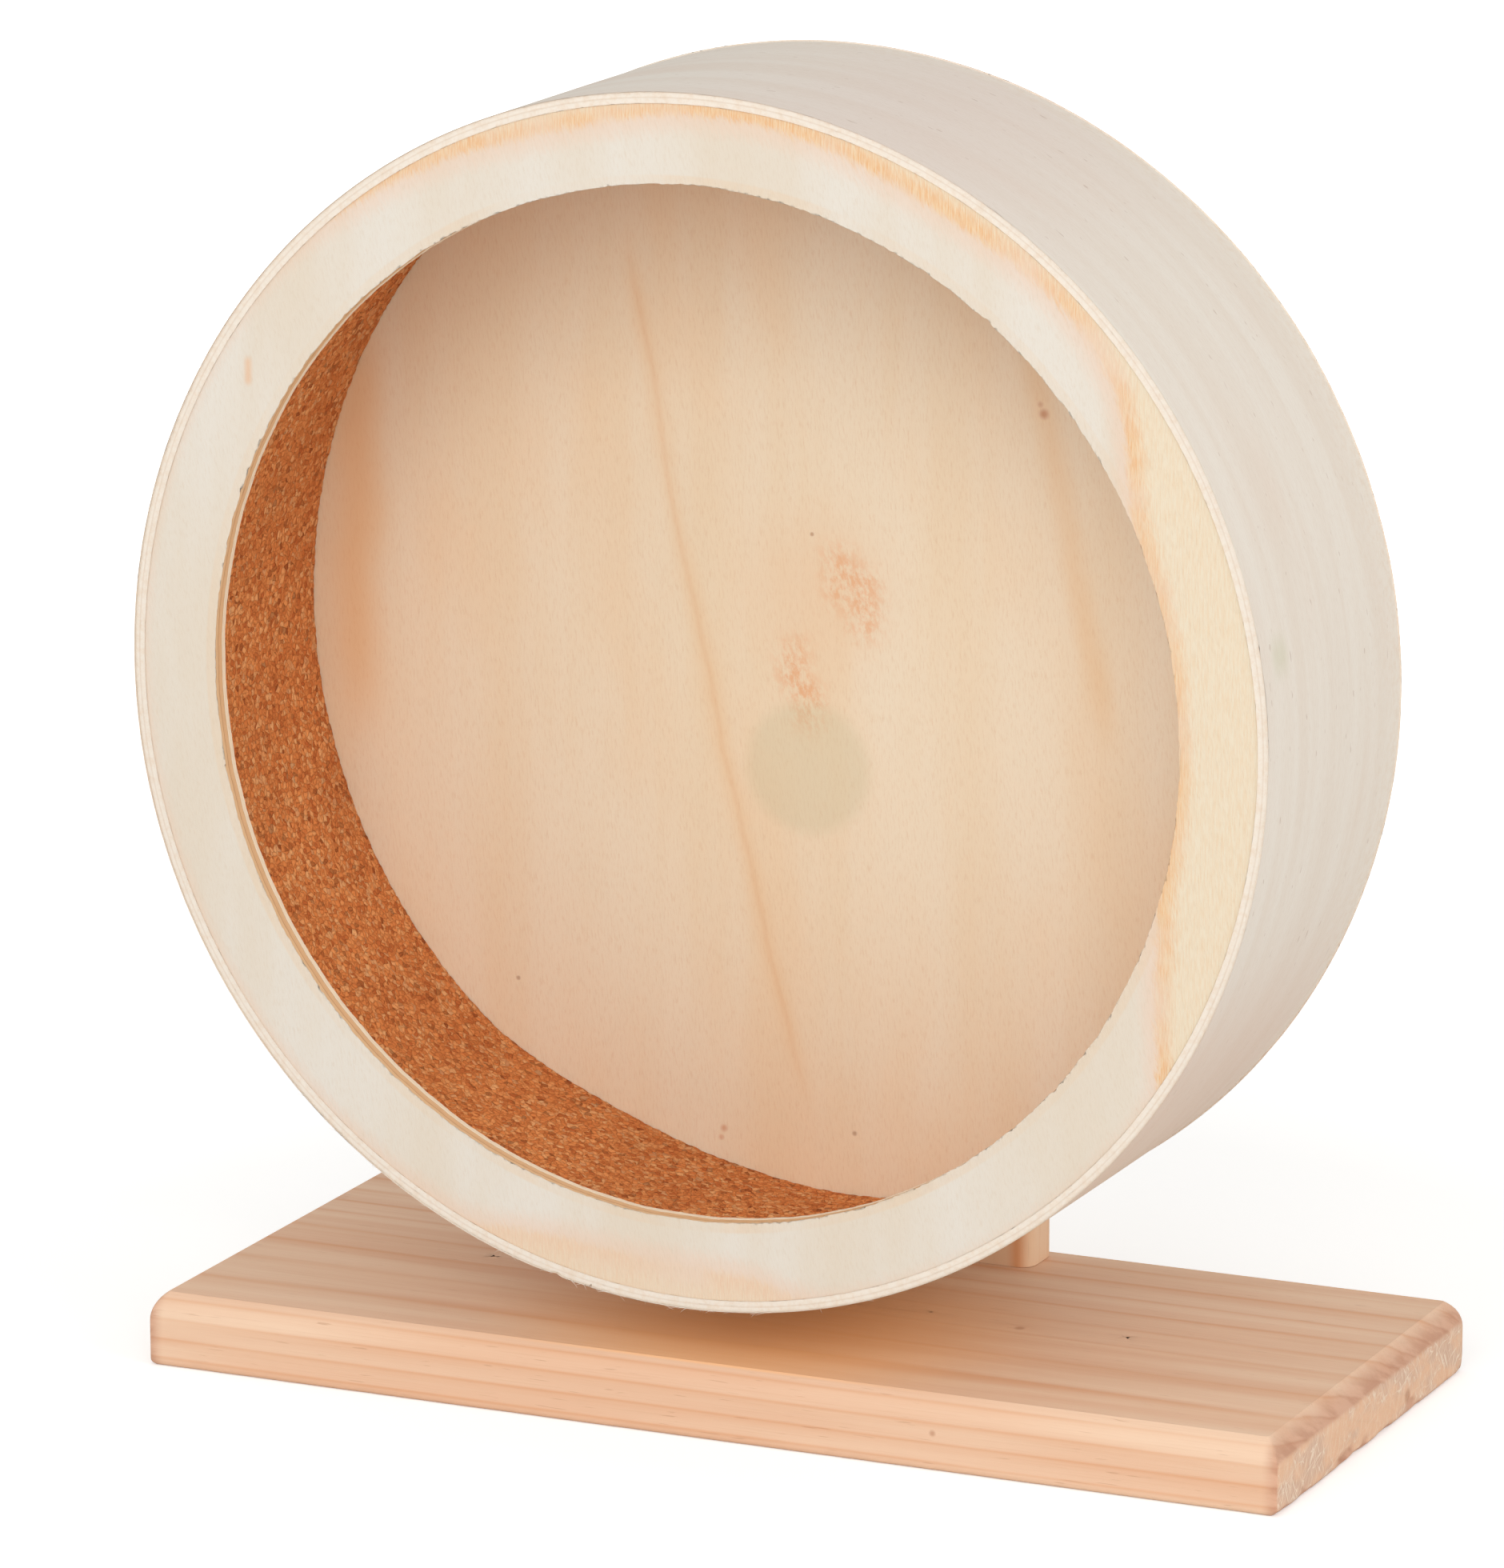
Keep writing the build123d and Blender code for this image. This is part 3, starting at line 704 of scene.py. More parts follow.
def band_shape(angle, depth, radius):
    """Grain ridges run round the band, its edges are ragged and nicked, and the seam is a shallow groove."""
    places = round_places(angle, depth, radius)
    outside = smooth(OUTSIDE_FROM, OUTSIDE_TO, radius)
    ridges = 0.05 * (1 + drift(places, 45, 1)) + 0.012 * (1 + drift(places, (25, 0.9, 25), 2))
    radius = radius - outside * ridges
    from_seam = np.abs(angle - SEAM_ANGLE) * DRUM_RADIUS
    radius = radius - SEAM_DEPTH * outside * (1 - smooth(0.0, SEAM_HALF_WIDTH, from_seam))
    radius = radius - 0.1 * outside * np.where(angle < SEAM_ANGLE, 1 - smooth(0.0, 12.0, from_seam), 0)
    places[..., 1] = 0
    back_edge = smooth(DRUM_BACK - 2, DRUM_BACK, depth)
    front_edge = smooth(DRUM_FRONT + 2, DRUM_FRONT, depth)
    ragged = 0.14 * (1 + drift(places, 14, 3)) + 0.1 * np.maximum(drift(places, 2.2, 4), 0)
    torn = 0.5 * np.exp(-(((angle - TORN_ANGLE) * DRUM_RADIUS / 7) ** 2))
    depth = depth - back_edge * (ragged + torn * np.maximum(drift(places, 1.6, 5) + 0.4, 0))
    uneven = 0.05 * (1 + drift(places, 20, 6)) + 0.08 * np.maximum(drift(places, 1.8, 7), 0)
    depth = depth + front_edge * uneven
    from_nick = (angle - NICK_ANGLE) * DRUM_RADIUS
    nick = np.exp(-((from_nick / 0.9) ** 2)) + 0.35 * smooth(-7, 0, from_nick) * (from_nick < 0)
    radius = radius - NICK_DEPTH * outside * nick * smooth(DRUM_FRONT + 5, DRUM_FRONT, depth)
    return depth, radius


across_half = np.array([0.02, 0.1, 0.2, SEAM_HALF_WIDTH])
seam_turns = SEAM_ANGLE + np.concatenate([-across_half[::-1], across_half]) / DRUM_RADIUS
band_line = outline(
    [
        (DRUM_FRONT, DRUM_RADIUS, 0.3),
        (DRUM_BACK, DRUM_RADIUS, 0.3),
        (DRUM_BACK, GLUE_HIGH, 0.04),
        (DRUM_BACK - 0.08, GLUE_RADIUS, 0.04),
        (DRUM_BACK, GLUE_LOW, 0.04),
        (DRUM_BACK, BAND_BORE, 0.12),
        (DRUM_FRONT, BAND_BORE, 0.12),
        (DRUM_FRONT, GLUE_LOW, 0.04),
        (DRUM_FRONT + 0.04, GLUE_RADIUS, 0.04),
        (DRUM_FRONT, GLUE_HIGH, 0.04),
    ],
    2.4,
)
band_turns = np.unique(np.concatenate([full_turn(900), seam_turns]))
band_skin = turned(band_line, band_turns, band_shape)
piece("bent_band", "wheel", ["rim_band"], band_finish(), [(band_skin, True)])


def ring_shape(angle, depth, radius):
    """The opening is a little out of round, its sawn edge uneven, with a few splinters torn out in front."""
    places = round_places(angle, depth, radius)
    sawn = 1 - smooth(RING_OPENING + 0.6, RING_OPENING + 4, radius)
    flat = places.copy()
    flat[..., 1] = 0
    out = 0.35 * drift(flat, 60, 11) + 0.12 * drift(flat, 5, 12) + 0.05 * drift(places, (0.9, 0.8, 0.9), 13)
    at_front = 1 - smooth(DRUM_FRONT + 0.9, DRUM_FRONT + 1.5, depth)
    torn = 0
    for degrees, size, wide in SPLINTERS:
        torn = torn + size * np.exp(-(((angle - math.radians(degrees)) * RING_OPENING / wide) ** 2))
    torn = torn + 0.25 * np.maximum(drift(places, (1.1, 2, 1.1), 14), 0)
    radius = radius + sawn * (out + at_front * torn)
    face = smooth(DRUM_FRONT + 0.3, DRUM_FRONT, depth)
    grain = 0.03 * (1 + drift(places, (14, 9, 60), 15)) + 0.008 * (1 + drift(places, (0.8, 9, 30), 16))
    depth = depth + face * grain
    return depth, radius


ring_line = outline(
    [
        (DRUM_FRONT, BAND_BORE, 0.15),
        (RING_BACK, BAND_BORE, 0.1),
        (RING_BACK, RING_OPENING, 0.15),
        (RING_BACK - 1.35, RING_OPENING, 0.03),
        (RING_BACK - 1.45, RING_OPENING + 0.1, 0.03),
        (RING_BACK - 1.6, RING_OPENING + 0.05, 0.03),
        (DRUM_FRONT + 1.75, RING_OPENING + 0.05, 0.03),
        (DRUM_FRONT + 1.6, RING_OPENING + 0.12, 0.03),
        (DRUM_FRONT + 1.45, RING_OPENING, 0.03),
        (DRUM_FRONT, RING_OPENING, 0.22),
    ],
    1.3,
)
ring_skin = turned(ring_line, full_turn(1300), ring_shape)
piece("front_opening_ring", "wheel", ["front_ring"], ring_finish(), [(ring_skin, True)])


def disc_shape(angle, depth, radius):
    """Hardly uneven: slow waves and fine ridges along the upright grain, inwards from both faces."""
    places = round_places(angle, depth, radius)
    wave = 0.04 * (1 + drift(places, (18, 9, 70), 21)) + 0.008 * (1 + drift(places, (1.2, 9, 30), 22))
    side = np.where(depth < (DISC_FRONT + DRUM_BACK) / 2, 1.0, -1.0)
    return depth + side * wave * (1 - smooth(134, 137, radius)), radius


DISC_STEPS = 60
disc_radii = np.linspace(2.0, BAND_BORE - 0.5, DISC_STEPS)
disc_line = np.concatenate(
    [
        np.stack([np.full(DISC_STEPS, DISC_FRONT), disc_radii], -1),
        [[DISC_FRONT, BAND_BORE - 0.15], [DISC_FRONT + 0.15, BAND_BORE]],
        [[DRUM_BACK - 0.2, BAND_BORE], [DRUM_BACK, BAND_BORE - 0.2]],
        np.stack([np.full(DISC_STEPS, DRUM_BACK), disc_radii[::-1]], -1),
    ]
)
disc_skin = turned(disc_line, full_turn(600), disc_shape)
piece("closed_back_disc", "wheel", ["back_disc"], disc_finish(), [(disc_skin, False)])


def cork_shape(angle, depth, radius):
    """The strip lifts off the band as a power of a cosine, and granules stand out of its face."""
    away = np.degrees(angle) - CORK_LIFT_DEGREES
    away = np.where(away > 180, away - 360, away)
    share = np.clip(np.abs(away) / np.where(away > 0, CORK_LIFT_ABOVE, CORK_LIFT_BELOW), 0, 1)
    lift = CORK_LIFT * np.cos(math.pi / 2 * share) ** CORK_LIFT_POWER
    places = round_places(angle, depth, radius)
    face = 1 - smooth(CORK_BORE + 0.1, BAND_BORE - 1.0, radius)
    pits = 1 - smooth(0.0, 0.35, granule_gap(places, 2.6, 31))
    radius = radius + face * (0.22 * pits + 0.05 * (1 + drift(places, 1.4, 32)) + 0.1 * drift(places, 22, 33))
    edge = (1 - smooth(RING_BACK, RING_BACK + 1.5, depth)) - smooth(DISC_FRONT - 1.5, DISC_FRONT, depth)
    depth = depth + edge * 0.12 * (1 + drift(places, 2.2, 34))
    return depth, radius - lift


CORK_STEPS = 84
cork_depths = np.linspace(RING_BACK + 0.3, DISC_FRONT - 0.3, CORK_STEPS)
cork_line = np.concatenate(
    [
        np.stack([cork_depths, np.full(CORK_STEPS, CORK_BORE)], -1),
        [[DISC_FRONT - 0.08, CORK_BORE + 0.1], [DISC_FRONT, CORK_BORE + 0.4]],
        [[DISC_FRONT, BAND_BORE - 1.5], [DISC_FRONT, BAND_BORE], [DISC_FRONT - 20, BAND_BORE]],
        [[RING_BACK + 20, BAND_BORE], [RING_BACK, BAND_BORE], [RING_BACK, BAND_BORE - 1.5]],
        [[RING_BACK, CORK_BORE + 0.4], [RING_BACK + 0.08, CORK_BORE + 0.1]],
    ]
)
half_gap = CORK_SEAM_GAP / 2 / CORK_BORE
cork_turns = np.linspace(CORK_SEAM + half_gap, CORK_SEAM + 2 * math.pi - half_gap, 980)
cork_skin = np.swapaxes(turned(cork_line, cork_turns, cork_shape), 0, 1)
piece("cork_strip", "wheel", ["cork_lining"], cork_finish(), [(cork_skin, False)], sharp=60)


def loose_fibres(count, seed):
    """Thin curled fibres torn up along the drum's front edge, each a three-sided tube along a bent line."""
    numbers = np.random.default_rng(seed)
    tufts = [-112, -98, -88, -128, 84, 101, 55, 160]
    angle = np.radians(numbers.choice(tufts, count) + numbers.normal(0, 6, count))
    length = numbers.uniform(1.0, 4.5, count)
    lean = numbers.uniform(-1, 1, count)
    lift = numbers.uniform(0.1, 0.9, count)
    share = np.linspace(0, 1, 6)[None]
    along = angle[:, None] + (length * lean)[:, None] * share / DRUM_RADIUS
    rise = length * numbers.uniform(0.1, 0.5, count) * np.where(np.sin(angle) < -0.6, 0.8, -1.0)
    radius = DRUM_RADIUS - 0.15 + rise[:, None] * share**2
    depth = DRUM_FRONT + 0.12 - 0.1 * lift[:, None] * np.sin(math.pi * share)
    line = np.stack([AXLE_X + radius * np.cos(along), depth, AXLE_Z + radius * np.sin(along)], -1)
    thick = (numbers.uniform(0.05, 0.11, count)[:, None] * (1 - 0.8 * share))[..., None]
    outward = np.stack([np.cos(along), 0 * along, np.sin(along)], -1)
    forward = np.array([0.0, -1.0, 0.0])
    sides = [line + thick * (math.cos(turn) * outward + math.sin(turn) * forward) for turn in (0.5, 2.6, 4.7)]
    return [(tube, False) for tube in np.stack(sides, 2)]


piece("loose_edge_fibres", "wheel", [], band_finish(), loose_fibres(160, 5))

# Stand


def board_ring(half_x, half_y, rounding, steps_x, steps_y):
    """Points round a rectangle with rounded corners, as many for every size of it."""
    quarter = np.linspace(0, math.pi / 2, 4)
    corners = []
    for index, (side_x, side_y) in enumerate(((1, 1), (-1, 1), (-1, -1), (1, -1))):
        angle = quarter + index * math.pi / 2
        middle = np.array([side_x * (half_x - rounding), side_y * (half_y - rounding)])
        corners.append(middle + rounding * np.stack([np.cos(angle), np.sin(angle)], -1))
    points = []
    for index in range(4):
        points.append(corners[index])
        start, end = corners[index][-1], corners[(index + 1) % 4][0]
        share = np.linspace(0, 1, (steps_x if index % 2 == 0 else steps_y) + 1)[1:-1, None]
        points.append(start + (end - start) * share)
    return np.concatenate(points)


base_low, base_high = box_mm("base_board")
BASE_TOP = base_high[2]
half_length, half_depth = (base_high[0] - base_low[0]) / 2, (base_high[1] - base_low[1]) / 2
ROUND_RADIUS, ROUND_HEIGHT = 8.0, 6.7
ROUND_INSET = 3.6
arc = np.linspace(0, math.asin(ROUND_HEIGHT / ROUND_RADIUS), 9)
arc_inset, arc_level = ROUND_RADIUS * (1 - np.cos(arc)), BASE_TOP - ROUND_HEIGHT + ROUND_RADIUS * np.sin(arc)
top_inset = ROUND_INSET + np.array([0.25, 0.7, 1.6, 3, 5, 8, 12, 17, 23, 30, 38, 46, 54, 59])
base_levels = np.concatenate(
    [
        [[30.0, 0.0], [5.0, 0.0], [1.6, 0.0], [1.2, 0.03], [0.9, 0.12]],
        [[0.3, 0.6], [0.08, 1.0], [0.0, 1.5], [0.0, 2.2], [0.0, 4.0], [0.0, 6.0], [0.0, 8.5], [0.0, 10.3]],
        np.stack([arc_inset, arc_level], -1),
        np.stack([top_inset, np.full(len(top_inset), BASE_TOP)], -1),
    ]
)
rings = []
for inset, level in base_levels:
    corner = max(1.2 - inset * 0.1, 0.3)
    flat = board_ring(half_length - inset, half_depth - inset, corner, 190, 82)
    rings.append(np.column_stack([flat, np.full(len(flat), level)]))
base_rings = np.array(rings)
places = base_rings.copy()
low_edge = (1 - smooth(1.0, 4.0, places[..., 2])) * smooth(2.5, 0.0, base_levels[:, None, 0])
at_end = smooth(half_length - 4, half_length - 1, np.abs(places[..., 0]))
chips = np.maximum(drift(places, (3, 5, 2.5), 41), 0) * (0.15 + 0.6 * at_end)
wave = 0.05 * (1 + drift(places, (90, 12, 12), 42)) + 0.02 * (1 + drift(places, (60, 1.4, 1.4), 43))
outward = np.stack([np.sign(places[..., 0]) * at_end, np.sign(places[..., 1]) * (1 - at_end), 0 * at_end], -1)
side = (base_levels[:, 0] < ROUND_INSET + 0.1)[:, None, None]
base_rings = base_rings - np.where(side, outward * (low_edge * chips + wave)[..., None], 0)
on_top = places[..., 2] > BASE_TOP - 0.01
base_rings[..., 2] -= np.where(on_top, wave * smooth(ROUND_INSET, 5, base_levels[:, None, 0]), 0)
base_look = base_board_finish()
base_skins = [(base_rings, False)]
base_piece = piece("base_board_body", "stand", ["base_board"], base_look, base_skins, sharp=24)

screw_low, screw_high = box_mm("stand_screw_left")
STAND_SCREW_Y = (screw_low[1] + screw_high[1]) / 2
STAND_SCREWS = ("stand_screw_left", "stand_screw_right")
stand_screw_x = [sum(corner[0] for corner in box_mm(node)) / 2 for node in STAND_SCREWS]
COUNTERBORE_RADIUS, COUNTERBORE_DEPTH = 4.5, 4.0


def upright_cylinder(x, y, bottom, top, radius, steps=64):
    """Open stack of two rings about a line up."""
    angle = full_turn(steps)
    ring = np.stack([x + radius * np.cos(angle), y + radius * np.sin(angle)], -1)
    return np.stack([np.column_stack([ring, np.full(steps, z)]) for z in (bottom, top)])


def plain_object(name, stack):
    """A closed cutter, for holes only."""
    verts, quads, ends = skin(stack, False)
    mesh = bpy.data.meshes.new(name)
    faces = quads[:, ::-1].tolist() + [end[::-1].tolist() for end in ends]
    mesh.from_pydata((verts * MM).tolist(), [], faces)
    made = bpy.data.objects.new(name, mesh)
    bpy.context.scene.collection.objects.link(made)
    return made


counterbores = [
    upright_cylinder(x, STAND_SCREW_Y, -1.0, COUNTERBORE_DEPTH, COUNTERBORE_RADIUS) for x in stand_screw_x
]
cut_away(base_piece, [plain_object("counterbore", stack) for stack in counterbores])

post_low, post_high = box_mm("upright_board")
half_width = (post_high[0] - post_low[0]) / 2
post_arc = np.linspace(0, math.pi / 2, 8)
POST_ROUND = 3.6
front_path = POST_ROUND * (1 - np.stack([np.sin(post_arc), np.cos(post_arc)], -1)) + [0, post_low[1]]
back_path = np.stack([front_path[::-1, 0], post_high[1] + post_low[1] - front_path[::-1, 1]], -1)
_, _, BEARING_RADIUS = round_size("front_bearing_outer_ring")


def post_ring(inset, depth):
    """Outline of the upright at a depth: its sides and top set in, its foot always on the base."""
    top = post_high[2] - inset
    middle, half = (top + post_low[2]) / 2, (top - post_low[2]) / 2
    flat = board_ring(half_width - inset, half, 0.25, 60, 110)
    return np.column_stack([AXLE_X + flat[:, 0], np.full(len(flat), depth), middle + flat[:, 1]])


def towards_bore(ring, share):
    """A ring moved part of the way in to the bearing bore."""
    angle = np.arctan2(ring[:, 2] - AXLE_Z, ring[:, 0] - AXLE_X)
    across, up = BEARING_RADIUS * np.cos(angle), BEARING_RADIUS * np.sin(angle)
    bore = np.column_stack([AXLE_X + across, ring[:, 1], AXLE_Z + up])
    return ring + (bore - ring) * share


front_rim = post_ring(POST_ROUND, post_low[1])
back_rim = post_ring(POST_ROUND, post_high[1])
shares = np.array([0.004, 0.03, 0.12, 0.3, 0.5, 0.7, 0.85, 0.95, 1.0])
post_rings = [post_ring(inset, depth) for inset, depth in front_path]
flat_depths = np.linspace(post_low[1] + POST_ROUND, post_high[1] - POST_ROUND, 6)[1:-1]
post_rings += [post_ring(0.0, depth) for depth in flat_depths]
post_rings += [post_ring(inset, depth) for inset, depth in back_path]
post_rings += [towards_bore(back_rim, share) for share in shares]
post_rings += [towards_bore(front_rim, share) for share in shares[::-1]]
post_skins = [(np.array(post_rings), True)]
piece("upright_body", "stand", ["upright_board"], upright_finish(), post_skins, sharp=30)


# Hub, bolt and bearings

zinc = metal_finish("zinc plate", tone(196, 198, 200), 0.34)
screw_steel = metal_finish("yellow zinc screws", tone(206, 186, 128), 0.36)
bearing_steel = metal_finish("bearing steel", tone(186, 188, 192), 0.22, (0.8, 6.0, 0.8))

BOLT_RADIUS = 4.0
BOLT_HEAD_HEIGHT = 5.3
BOLT_HEAD_ROOM = 7.7
BOLT_CENTRE = 0.6
FLATS = 13.0
THREAD_PITCH, THREAD_DEPTH, THREAD_START = 1.25, 0.32, 45.0
BOLT_STEPS = 260
SCREW_STEPS = 96

hub_front, hub_back, hub_radius = round_size("hub_block")
head_back = hub_front + BOLT_HEAD_HEIGHT
hub_line = outline(
    [
        (hub_front, hub_radius, 0.5),
        (hub_back, hub_radius, 0.9),
        (hub_back, BOLT_RADIUS + 0.1, 0.3),
        (head_back, BOLT_RADIUS + 0.1, 0.1),
        (head_back, BOLT_HEAD_ROOM, 0.1),
        (hub_front, BOLT_HEAD_ROOM, 0.1),
    ],
    1.5,
)
piece("hub", "wheel", ["hub_block"], hub_finish(), [(turned(hub_line, full_turn(240)), True)])


def across_flats(angle, flats):
    """Radius of a hexagon at an angle, flats across, corners up and down."""
    sector = np.mod(angle + math.pi / 6, math.pi / 3) - math.pi / 6
    return flats / 2 / np.cos(sector)


def hexagon(front, back, flats, bore, steps=144):
    """Hexagon whose corners are turned off by a cone at both ends, with a bore or none."""
    angle = full_turn(steps)
    depths = np.array([0, 0.12, 0.5, 1.0, 1.6])
    depths = np.concatenate([front + depths, back - depths[::-1]])
    rim = flats / 2 + 1.7 * np.minimum(depths - front, back - depths)[:, None]
    radius = np.minimum(across_flats(angle, flats)[None], rim - 0.1)
    across, up = radius * np.cos(angle), radius * np.sin(angle)
    outside = np.stack([AXLE_X + across, np.repeat(depths[:, None], steps, 1), AXLE_Z + up], -1)
    inner = np.array([[front, bore + 0.5], [front + 0.5, bore], [back - 0.5, bore], [back, bore + 0.5]])[::-1]
    return np.concatenate([outside, turned(inner, angle)])


def thread(angle, depth, radius):
    """Rounded thread that winds once for each pitch, from the nut to the bolt's end."""
    wound = np.mod(depth / THREAD_PITCH - angle / (2 * math.pi), 1)
    groove = THREAD_DEPTH * (0.5 + 0.5 * np.cos(2 * math.pi * wound))
    threaded = smooth(THREAD_START, THREAD_START + 1.0, depth) * smooth(2.6, 3.2, radius)
    return depth, radius - groove * threaded


bolt_end = box_mm("axle_bolt")[1][1]
shank = np.linspace(head_back, bolt_end - 0.8, BOLT_STEPS)
bolt_line = np.concatenate(
    [
        [[shank[0], BOLT_CENTRE], [shank[0], 2.0]],
        np.stack([shank, np.full(BOLT_STEPS, BOLT_RADIUS)], -1),
        [[bolt_end - 0.3, 3.6], [bolt_end, 3.2], [bolt_end, 1.5], [bolt_end, BOLT_CENTRE]],
    ]
)
bolt_head = hexagon(hub_front, head_back, FLATS, BOLT_CENTRE)
bolt_shank = turned(bolt_line, full_turn(72), thread)
piece("axle_bolt_body", "wheel", ["axle_bolt"], zinc, [(bolt_shank, False), (bolt_head, True)])

nut_low, nut_high = box_mm("lock_nut")
nut = hexagon(nut_low[1], nut_high[1], FLATS, BOLT_RADIUS)
piece("lock_nut_body", "wheel", ["lock_nut"], zinc, [(nut, True)])


def sleeve(name, node, finish, rounding):
    """Ring on the bolt with eased corners."""
    front, back, radius = round_size(node)
    corners = [(depth, reach, rounding) for depth, reach in ((front, radius), (back, radius))]
    corners += [(depth, BOLT_RADIUS, rounding) for depth in (back, front)]
    piece(name, "wheel", [node], finish, [(turned(outline(corners, 1.0), full_turn(120)), True)])


sleeve("nut_collar", "lock_nut_collar", nylon_finish(), 0.5)
sleeve("front_sleeve", "front_spacer", zinc, 0.2)
sleeve("rear_sleeve", "rear_spacer", zinc, 0.2)
sleeve("front_inner_ring", "front_bearing_inner_ring", bearing_steel, 0.25)
sleeve("rear_inner_ring", "rear_bearing_inner_ring", bearing_steel, 0.25)

OUTER_RING_BORE = 9.1
SHIELD_CORNERS = (
    (0.0, 9.5, 0.05),
    (0.25, 9.4, 0.05),
    (0.25, OUTER_RING_BORE, 0.05),
    (0.02, 8.8, 0.1),
    (0.02, 7.0, 0.1),
    (0.14, 6.7, 0.05),
    (0.14, 6.4, 0.05),
    (0.35, 6.4, 0.05),
    (0.35, OUTER_RING_BORE, 0.05),
)
for node, outward in (("front_bearing_outer_ring", -1), ("rear_bearing_outer_ring", 1)):
    front, back, radius = round_size(node)
    face, inner = (front, back) if outward < 0 else (back, front)
    corners = [(inner, radius, 0.2), (face, radius, 0.4)]
    corners += [(face - outward * inset, reach, rounding) for inset, reach, rounding in SHIELD_CORNERS]
    corners.append((inner, OUTER_RING_BORE, 0.2))
    name = node.replace("bearing_outer_ring", "bearing")
    shield = turned(outline(corners, 1.0), full_turn(144))
    piece(name, "stand", [node], bearing_steel, [(shield, True)], sharp=30)


def screw_stack(head_height, head_radius, radius, length):
    """Screw about +Z: domed head with a cross recess and its top at nil, and a shank below it, as rings."""
    angle = full_turn(SCREW_STEPS)
    spread = np.array([0.05, 0.2, 0.35, 0.5, 0.65, 0.8, 0.92, 1.0])
    dome = np.stack([head_radius * 0.86 * spread, -0.35 * head_height * spread**2], -1)
    side = [[head_radius, -0.6 * head_height], [head_radius, -head_height]]
    shank = [[radius, -head_height], [radius, -head_height - length + 0.6]]
    line = np.concatenate([dome, side, shank, [[radius * 0.4, -head_height - length]]])
    reach = np.repeat(line[:, :1], SCREW_STEPS, 1)
    height = np.repeat(line[:, 1:], SCREW_STEPS, 1)
    across, up = reach * np.cos(angle), reach * np.sin(angle)
    arm = np.minimum(np.abs(across), np.abs(up))
    recess = (1 - smooth(0.3, 0.5, arm)) * (1 - smooth(0.5 * head_radius, 0.58 * head_radius, reach))
    in_dome = (np.arange(len(line)) < len(dome))[:, None]
    height = height - np.where(in_dome, recess * 0.55 * head_height, 0)
    return np.stack([across, up, height], -1)


STAND_SCREW_SIZE = (3.0, 4.4, 2.2)
HUB_SCREW_SIZE = (2.0, 3.4, 1.6)

for node, x in zip(STAND_SCREWS, stand_screw_x):
    low, high = box_mm(node)
    stack = screw_stack(*STAND_SCREW_SIZE, high[2] - low[2] - STAND_SCREW_SIZE[0])
    down = np.stack([x + stack[..., 0], STAND_SCREW_Y - stack[..., 1], low[2] - stack[..., 2]], -1)
    piece(node + "_body", "stand", [node], screw_steel, [(down, False)], sharp=30)

for index in range(3):
    node = f"hub_screw_{index + 1}"
    low, high = box_mm(node)
    stack = screw_stack(*HUB_SCREW_SIZE, high[1] - low[1] - HUB_SCREW_SIZE[0])
    x, z = (low[0] + high[0]) / 2, (low[2] + high[2]) / 2
    back = np.stack([x + stack[..., 0], high[1] + stack[..., 2], z + stack[..., 1]], -1)
    piece(node + "_body", "wheel", [node], screw_steel, [(back, False)], sharp=30)

# Studio


def floor_finish():
    """White floor that keeps the shadow and glows more with distance, to meet the white background."""
    look = Finish("studio floor", roughness=0.9, gloss=0.1)
    look.colour((238, 237, 235))
    reach = look.add("ShaderNodeVectorMath", Vector=look.place)
    reach.operation = "LENGTH"
    rise = {"From Min": GLOW_FROM, "From Max": GLOW_TO, "To Min": GLOW_NEAR, "To Max": 1.0}
    far = look.add("ShaderNodeMapRange", Value=reach.outputs["Value"], **rise)
    glow = look.add("ShaderNodeEmission", Color=(1, 1, 1, 1), Strength=far.outputs[0])
    unlit = look.add("ShaderNodeEmission", Strength=0.0)
    choose = look.add("ShaderNodeMixShader", Fac=look.add("ShaderNodeLightPath").outputs["Is Camera Ray"])
    both = look.add("ShaderNodeAddShader")
    for start, end in (
        (unlit, choose.inputs[1]),
        (glow, choose.inputs[2]),
        (look.shader, both.inputs[0]),
        (choose, both.inputs[1]),
        (both, look.tree.nodes["Material Output"].inputs["Surface"]),
    ):
        look.put(end, start.outputs[0])
    return look.material


GLOW_FROM, GLOW_TO = 220.0, 1000.0
GLOW_NEAR = 0.34
SKY_LIGHT = 0.56
FLOOR_HALF = 8
floor_mesh = bpy.data.meshes.new("studio_floor")
floor_corners = [(x * FLOOR_HALF, y * FLOOR_HALF, 0) for x, y in ((-1, -1), (1, -1), (1, 1), (-1, 1))]
floor_mesh.from_pydata(floor_corners, [], [(0, 1, 2, 3)])
floor_mesh.materials.append(floor_finish())
floor = bpy.data.objects.new("studio_floor", floor_mesh)
bpy.context.scene.collection.objects.link(floor)

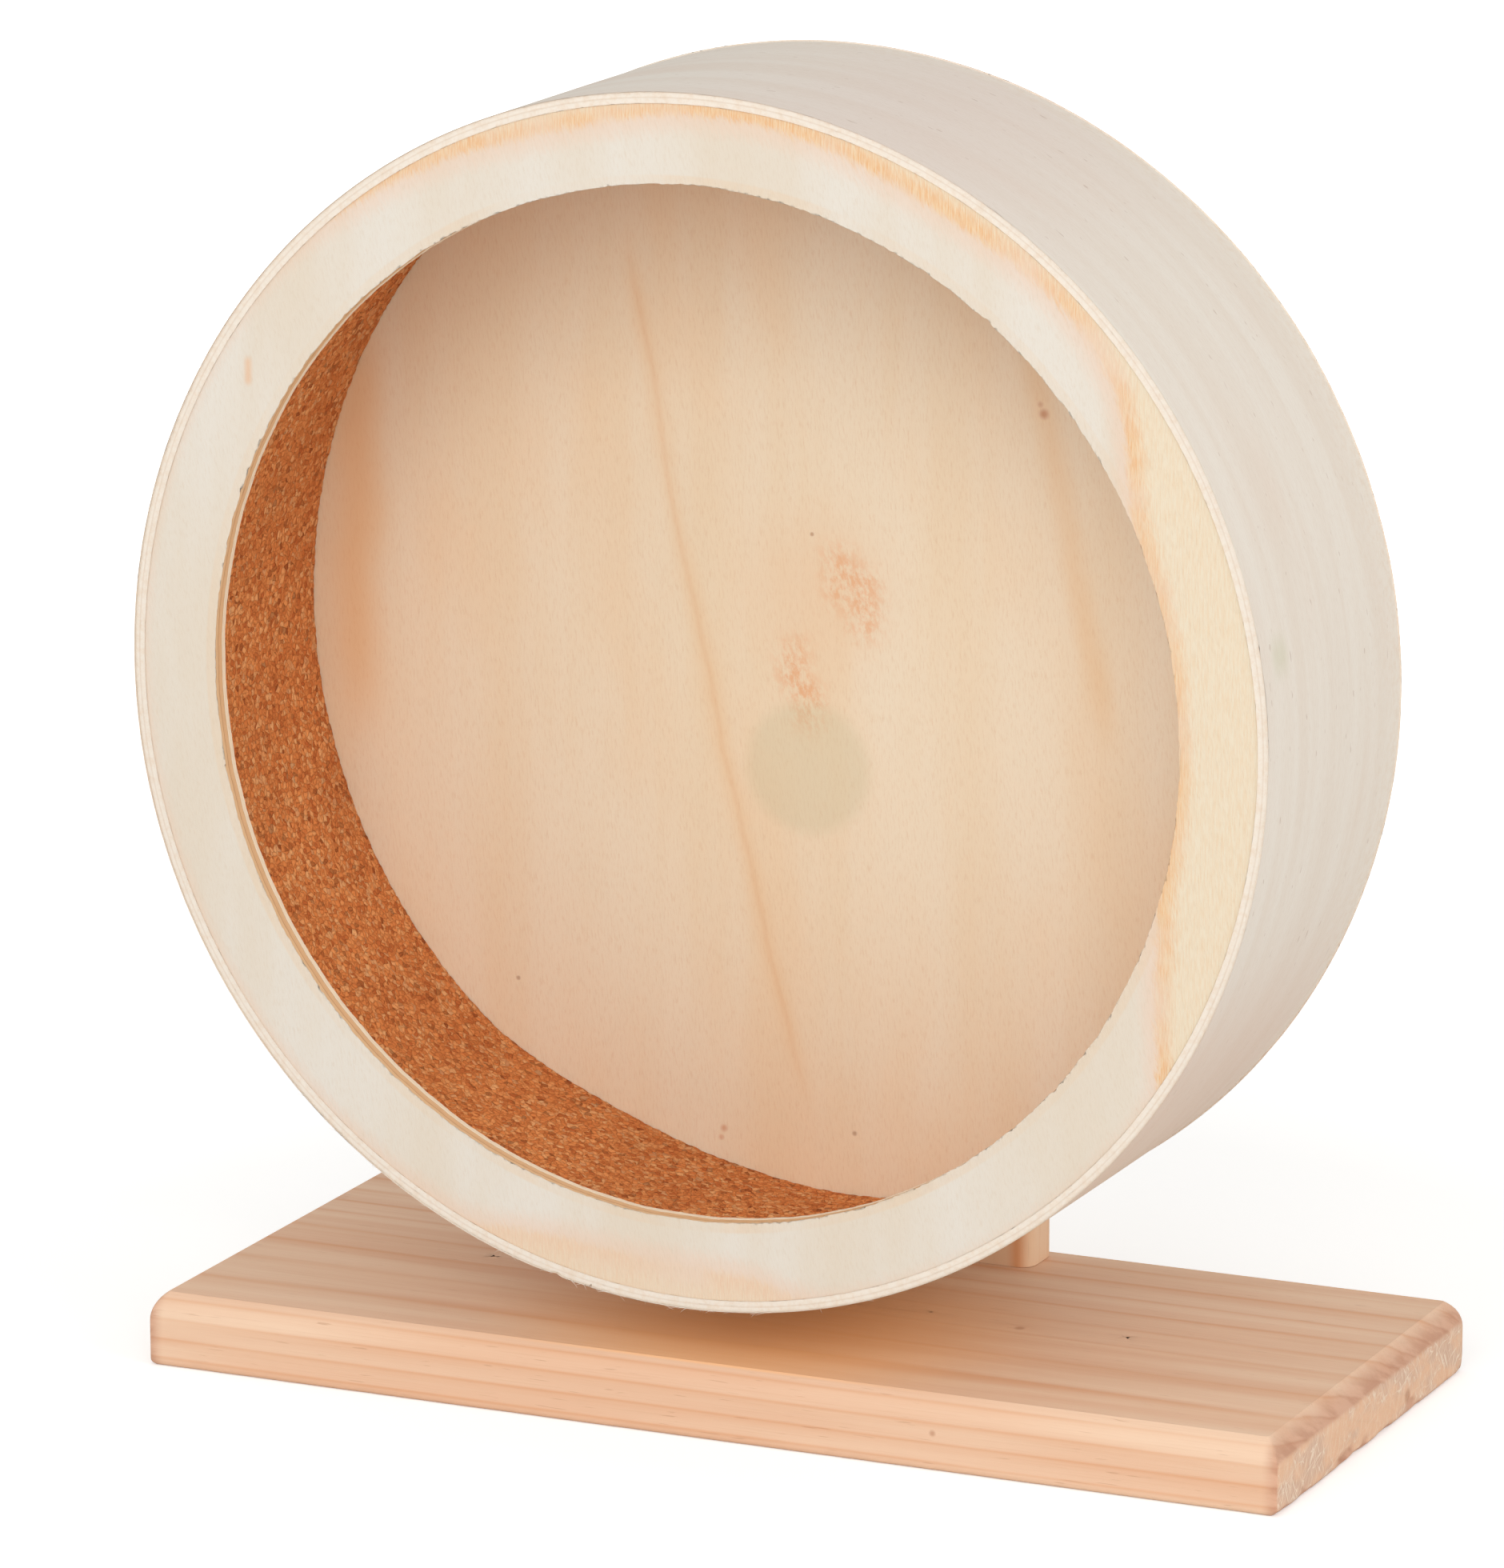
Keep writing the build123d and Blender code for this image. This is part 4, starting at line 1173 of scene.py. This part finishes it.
world = bpy.data.worlds.new("studio")
bpy.context.scene.world = world
world.use_nodes = True
sky = world.node_tree
seen = sky.nodes.new("ShaderNodeLightPath")
either = sky.nodes.new("ShaderNodeMath")
either.operation = "MAXIMUM"
sky.links.new(seen.outputs["Is Camera Ray"], either.inputs[0])
sky.links.new(seen.outputs["Is Transmission Ray"], either.inputs[1])
level = sky.nodes.new("ShaderNodeMapRange")
sky.links.new(either.outputs[0], level.inputs["Value"])
level.inputs["To Min"].default_value = SKY_LIGHT
level.inputs["To Max"].default_value = 1.0
sky.links.new(level.outputs[0], sky.nodes["Background"].inputs["Strength"])
sky.nodes["Background"].inputs["Color"].default_value = (1, 1, 1, 1)


WHEEL_MIDDLE = Vector((0, 0, 0.15))


def soft_lamp(name, place, size, watts, colour=(1, 1, 1)):
    """Soft box that faces the middle of the wheel."""
    light = bpy.data.lights.new(name, "AREA")
    light.color = colour
    light.shape = "RECTANGLE"
    light.size, light.size_y = size
    light.energy = watts
    lamp = bpy.data.objects.new(name, light)
    lamp.location = place
    lamp.rotation_euler = (WHEEL_MIDDLE - Vector(place)).to_track_quat("-Z", "Y").to_euler()
    bpy.context.scene.collection.objects.link(lamp)


soft_lamp("front soft box", (0.5, -1.9, 1.0), (1.6, 1.2), 18.4)
soft_lamp("left soft box", (-1.5, -1.1, 1.3), (1.0, 1.2), 6)
soft_lamp("overhead soft box", (0.1, 0.0, 1.9), (1.5, 1.5), 2.6, (0.82, 0.93, 1.0))
soft_lamp("right soft box", (1.9, -0.5, 0.9), (1.0, 1.2), 10)

SENSOR = 36
FOCAL_PIXELS, PHOTO_HEIGHT_PIXELS = 11035, 1960
camera_data = bpy.data.cameras.new("camera")
camera_data.sensor_width = SENSOR
camera_data.lens = FOCAL_PIXELS * SENSOR / PHOTO_HEIGHT_PIXELS
camera_data.clip_end = 30
camera = bpy.data.objects.new("camera", camera_data)
camera.location = (0.8031, -1.8163, 0.6109)
aim = Vector((0.0133, -0.0602, 0.1551))
camera.rotation_euler = (aim - camera.location).to_track_quat("-Z", "Y").to_euler()
bpy.context.scene.collection.objects.link(camera)
bpy.context.scene.camera = camera
bpy.context.scene.view_settings.view_transform = "Standard"
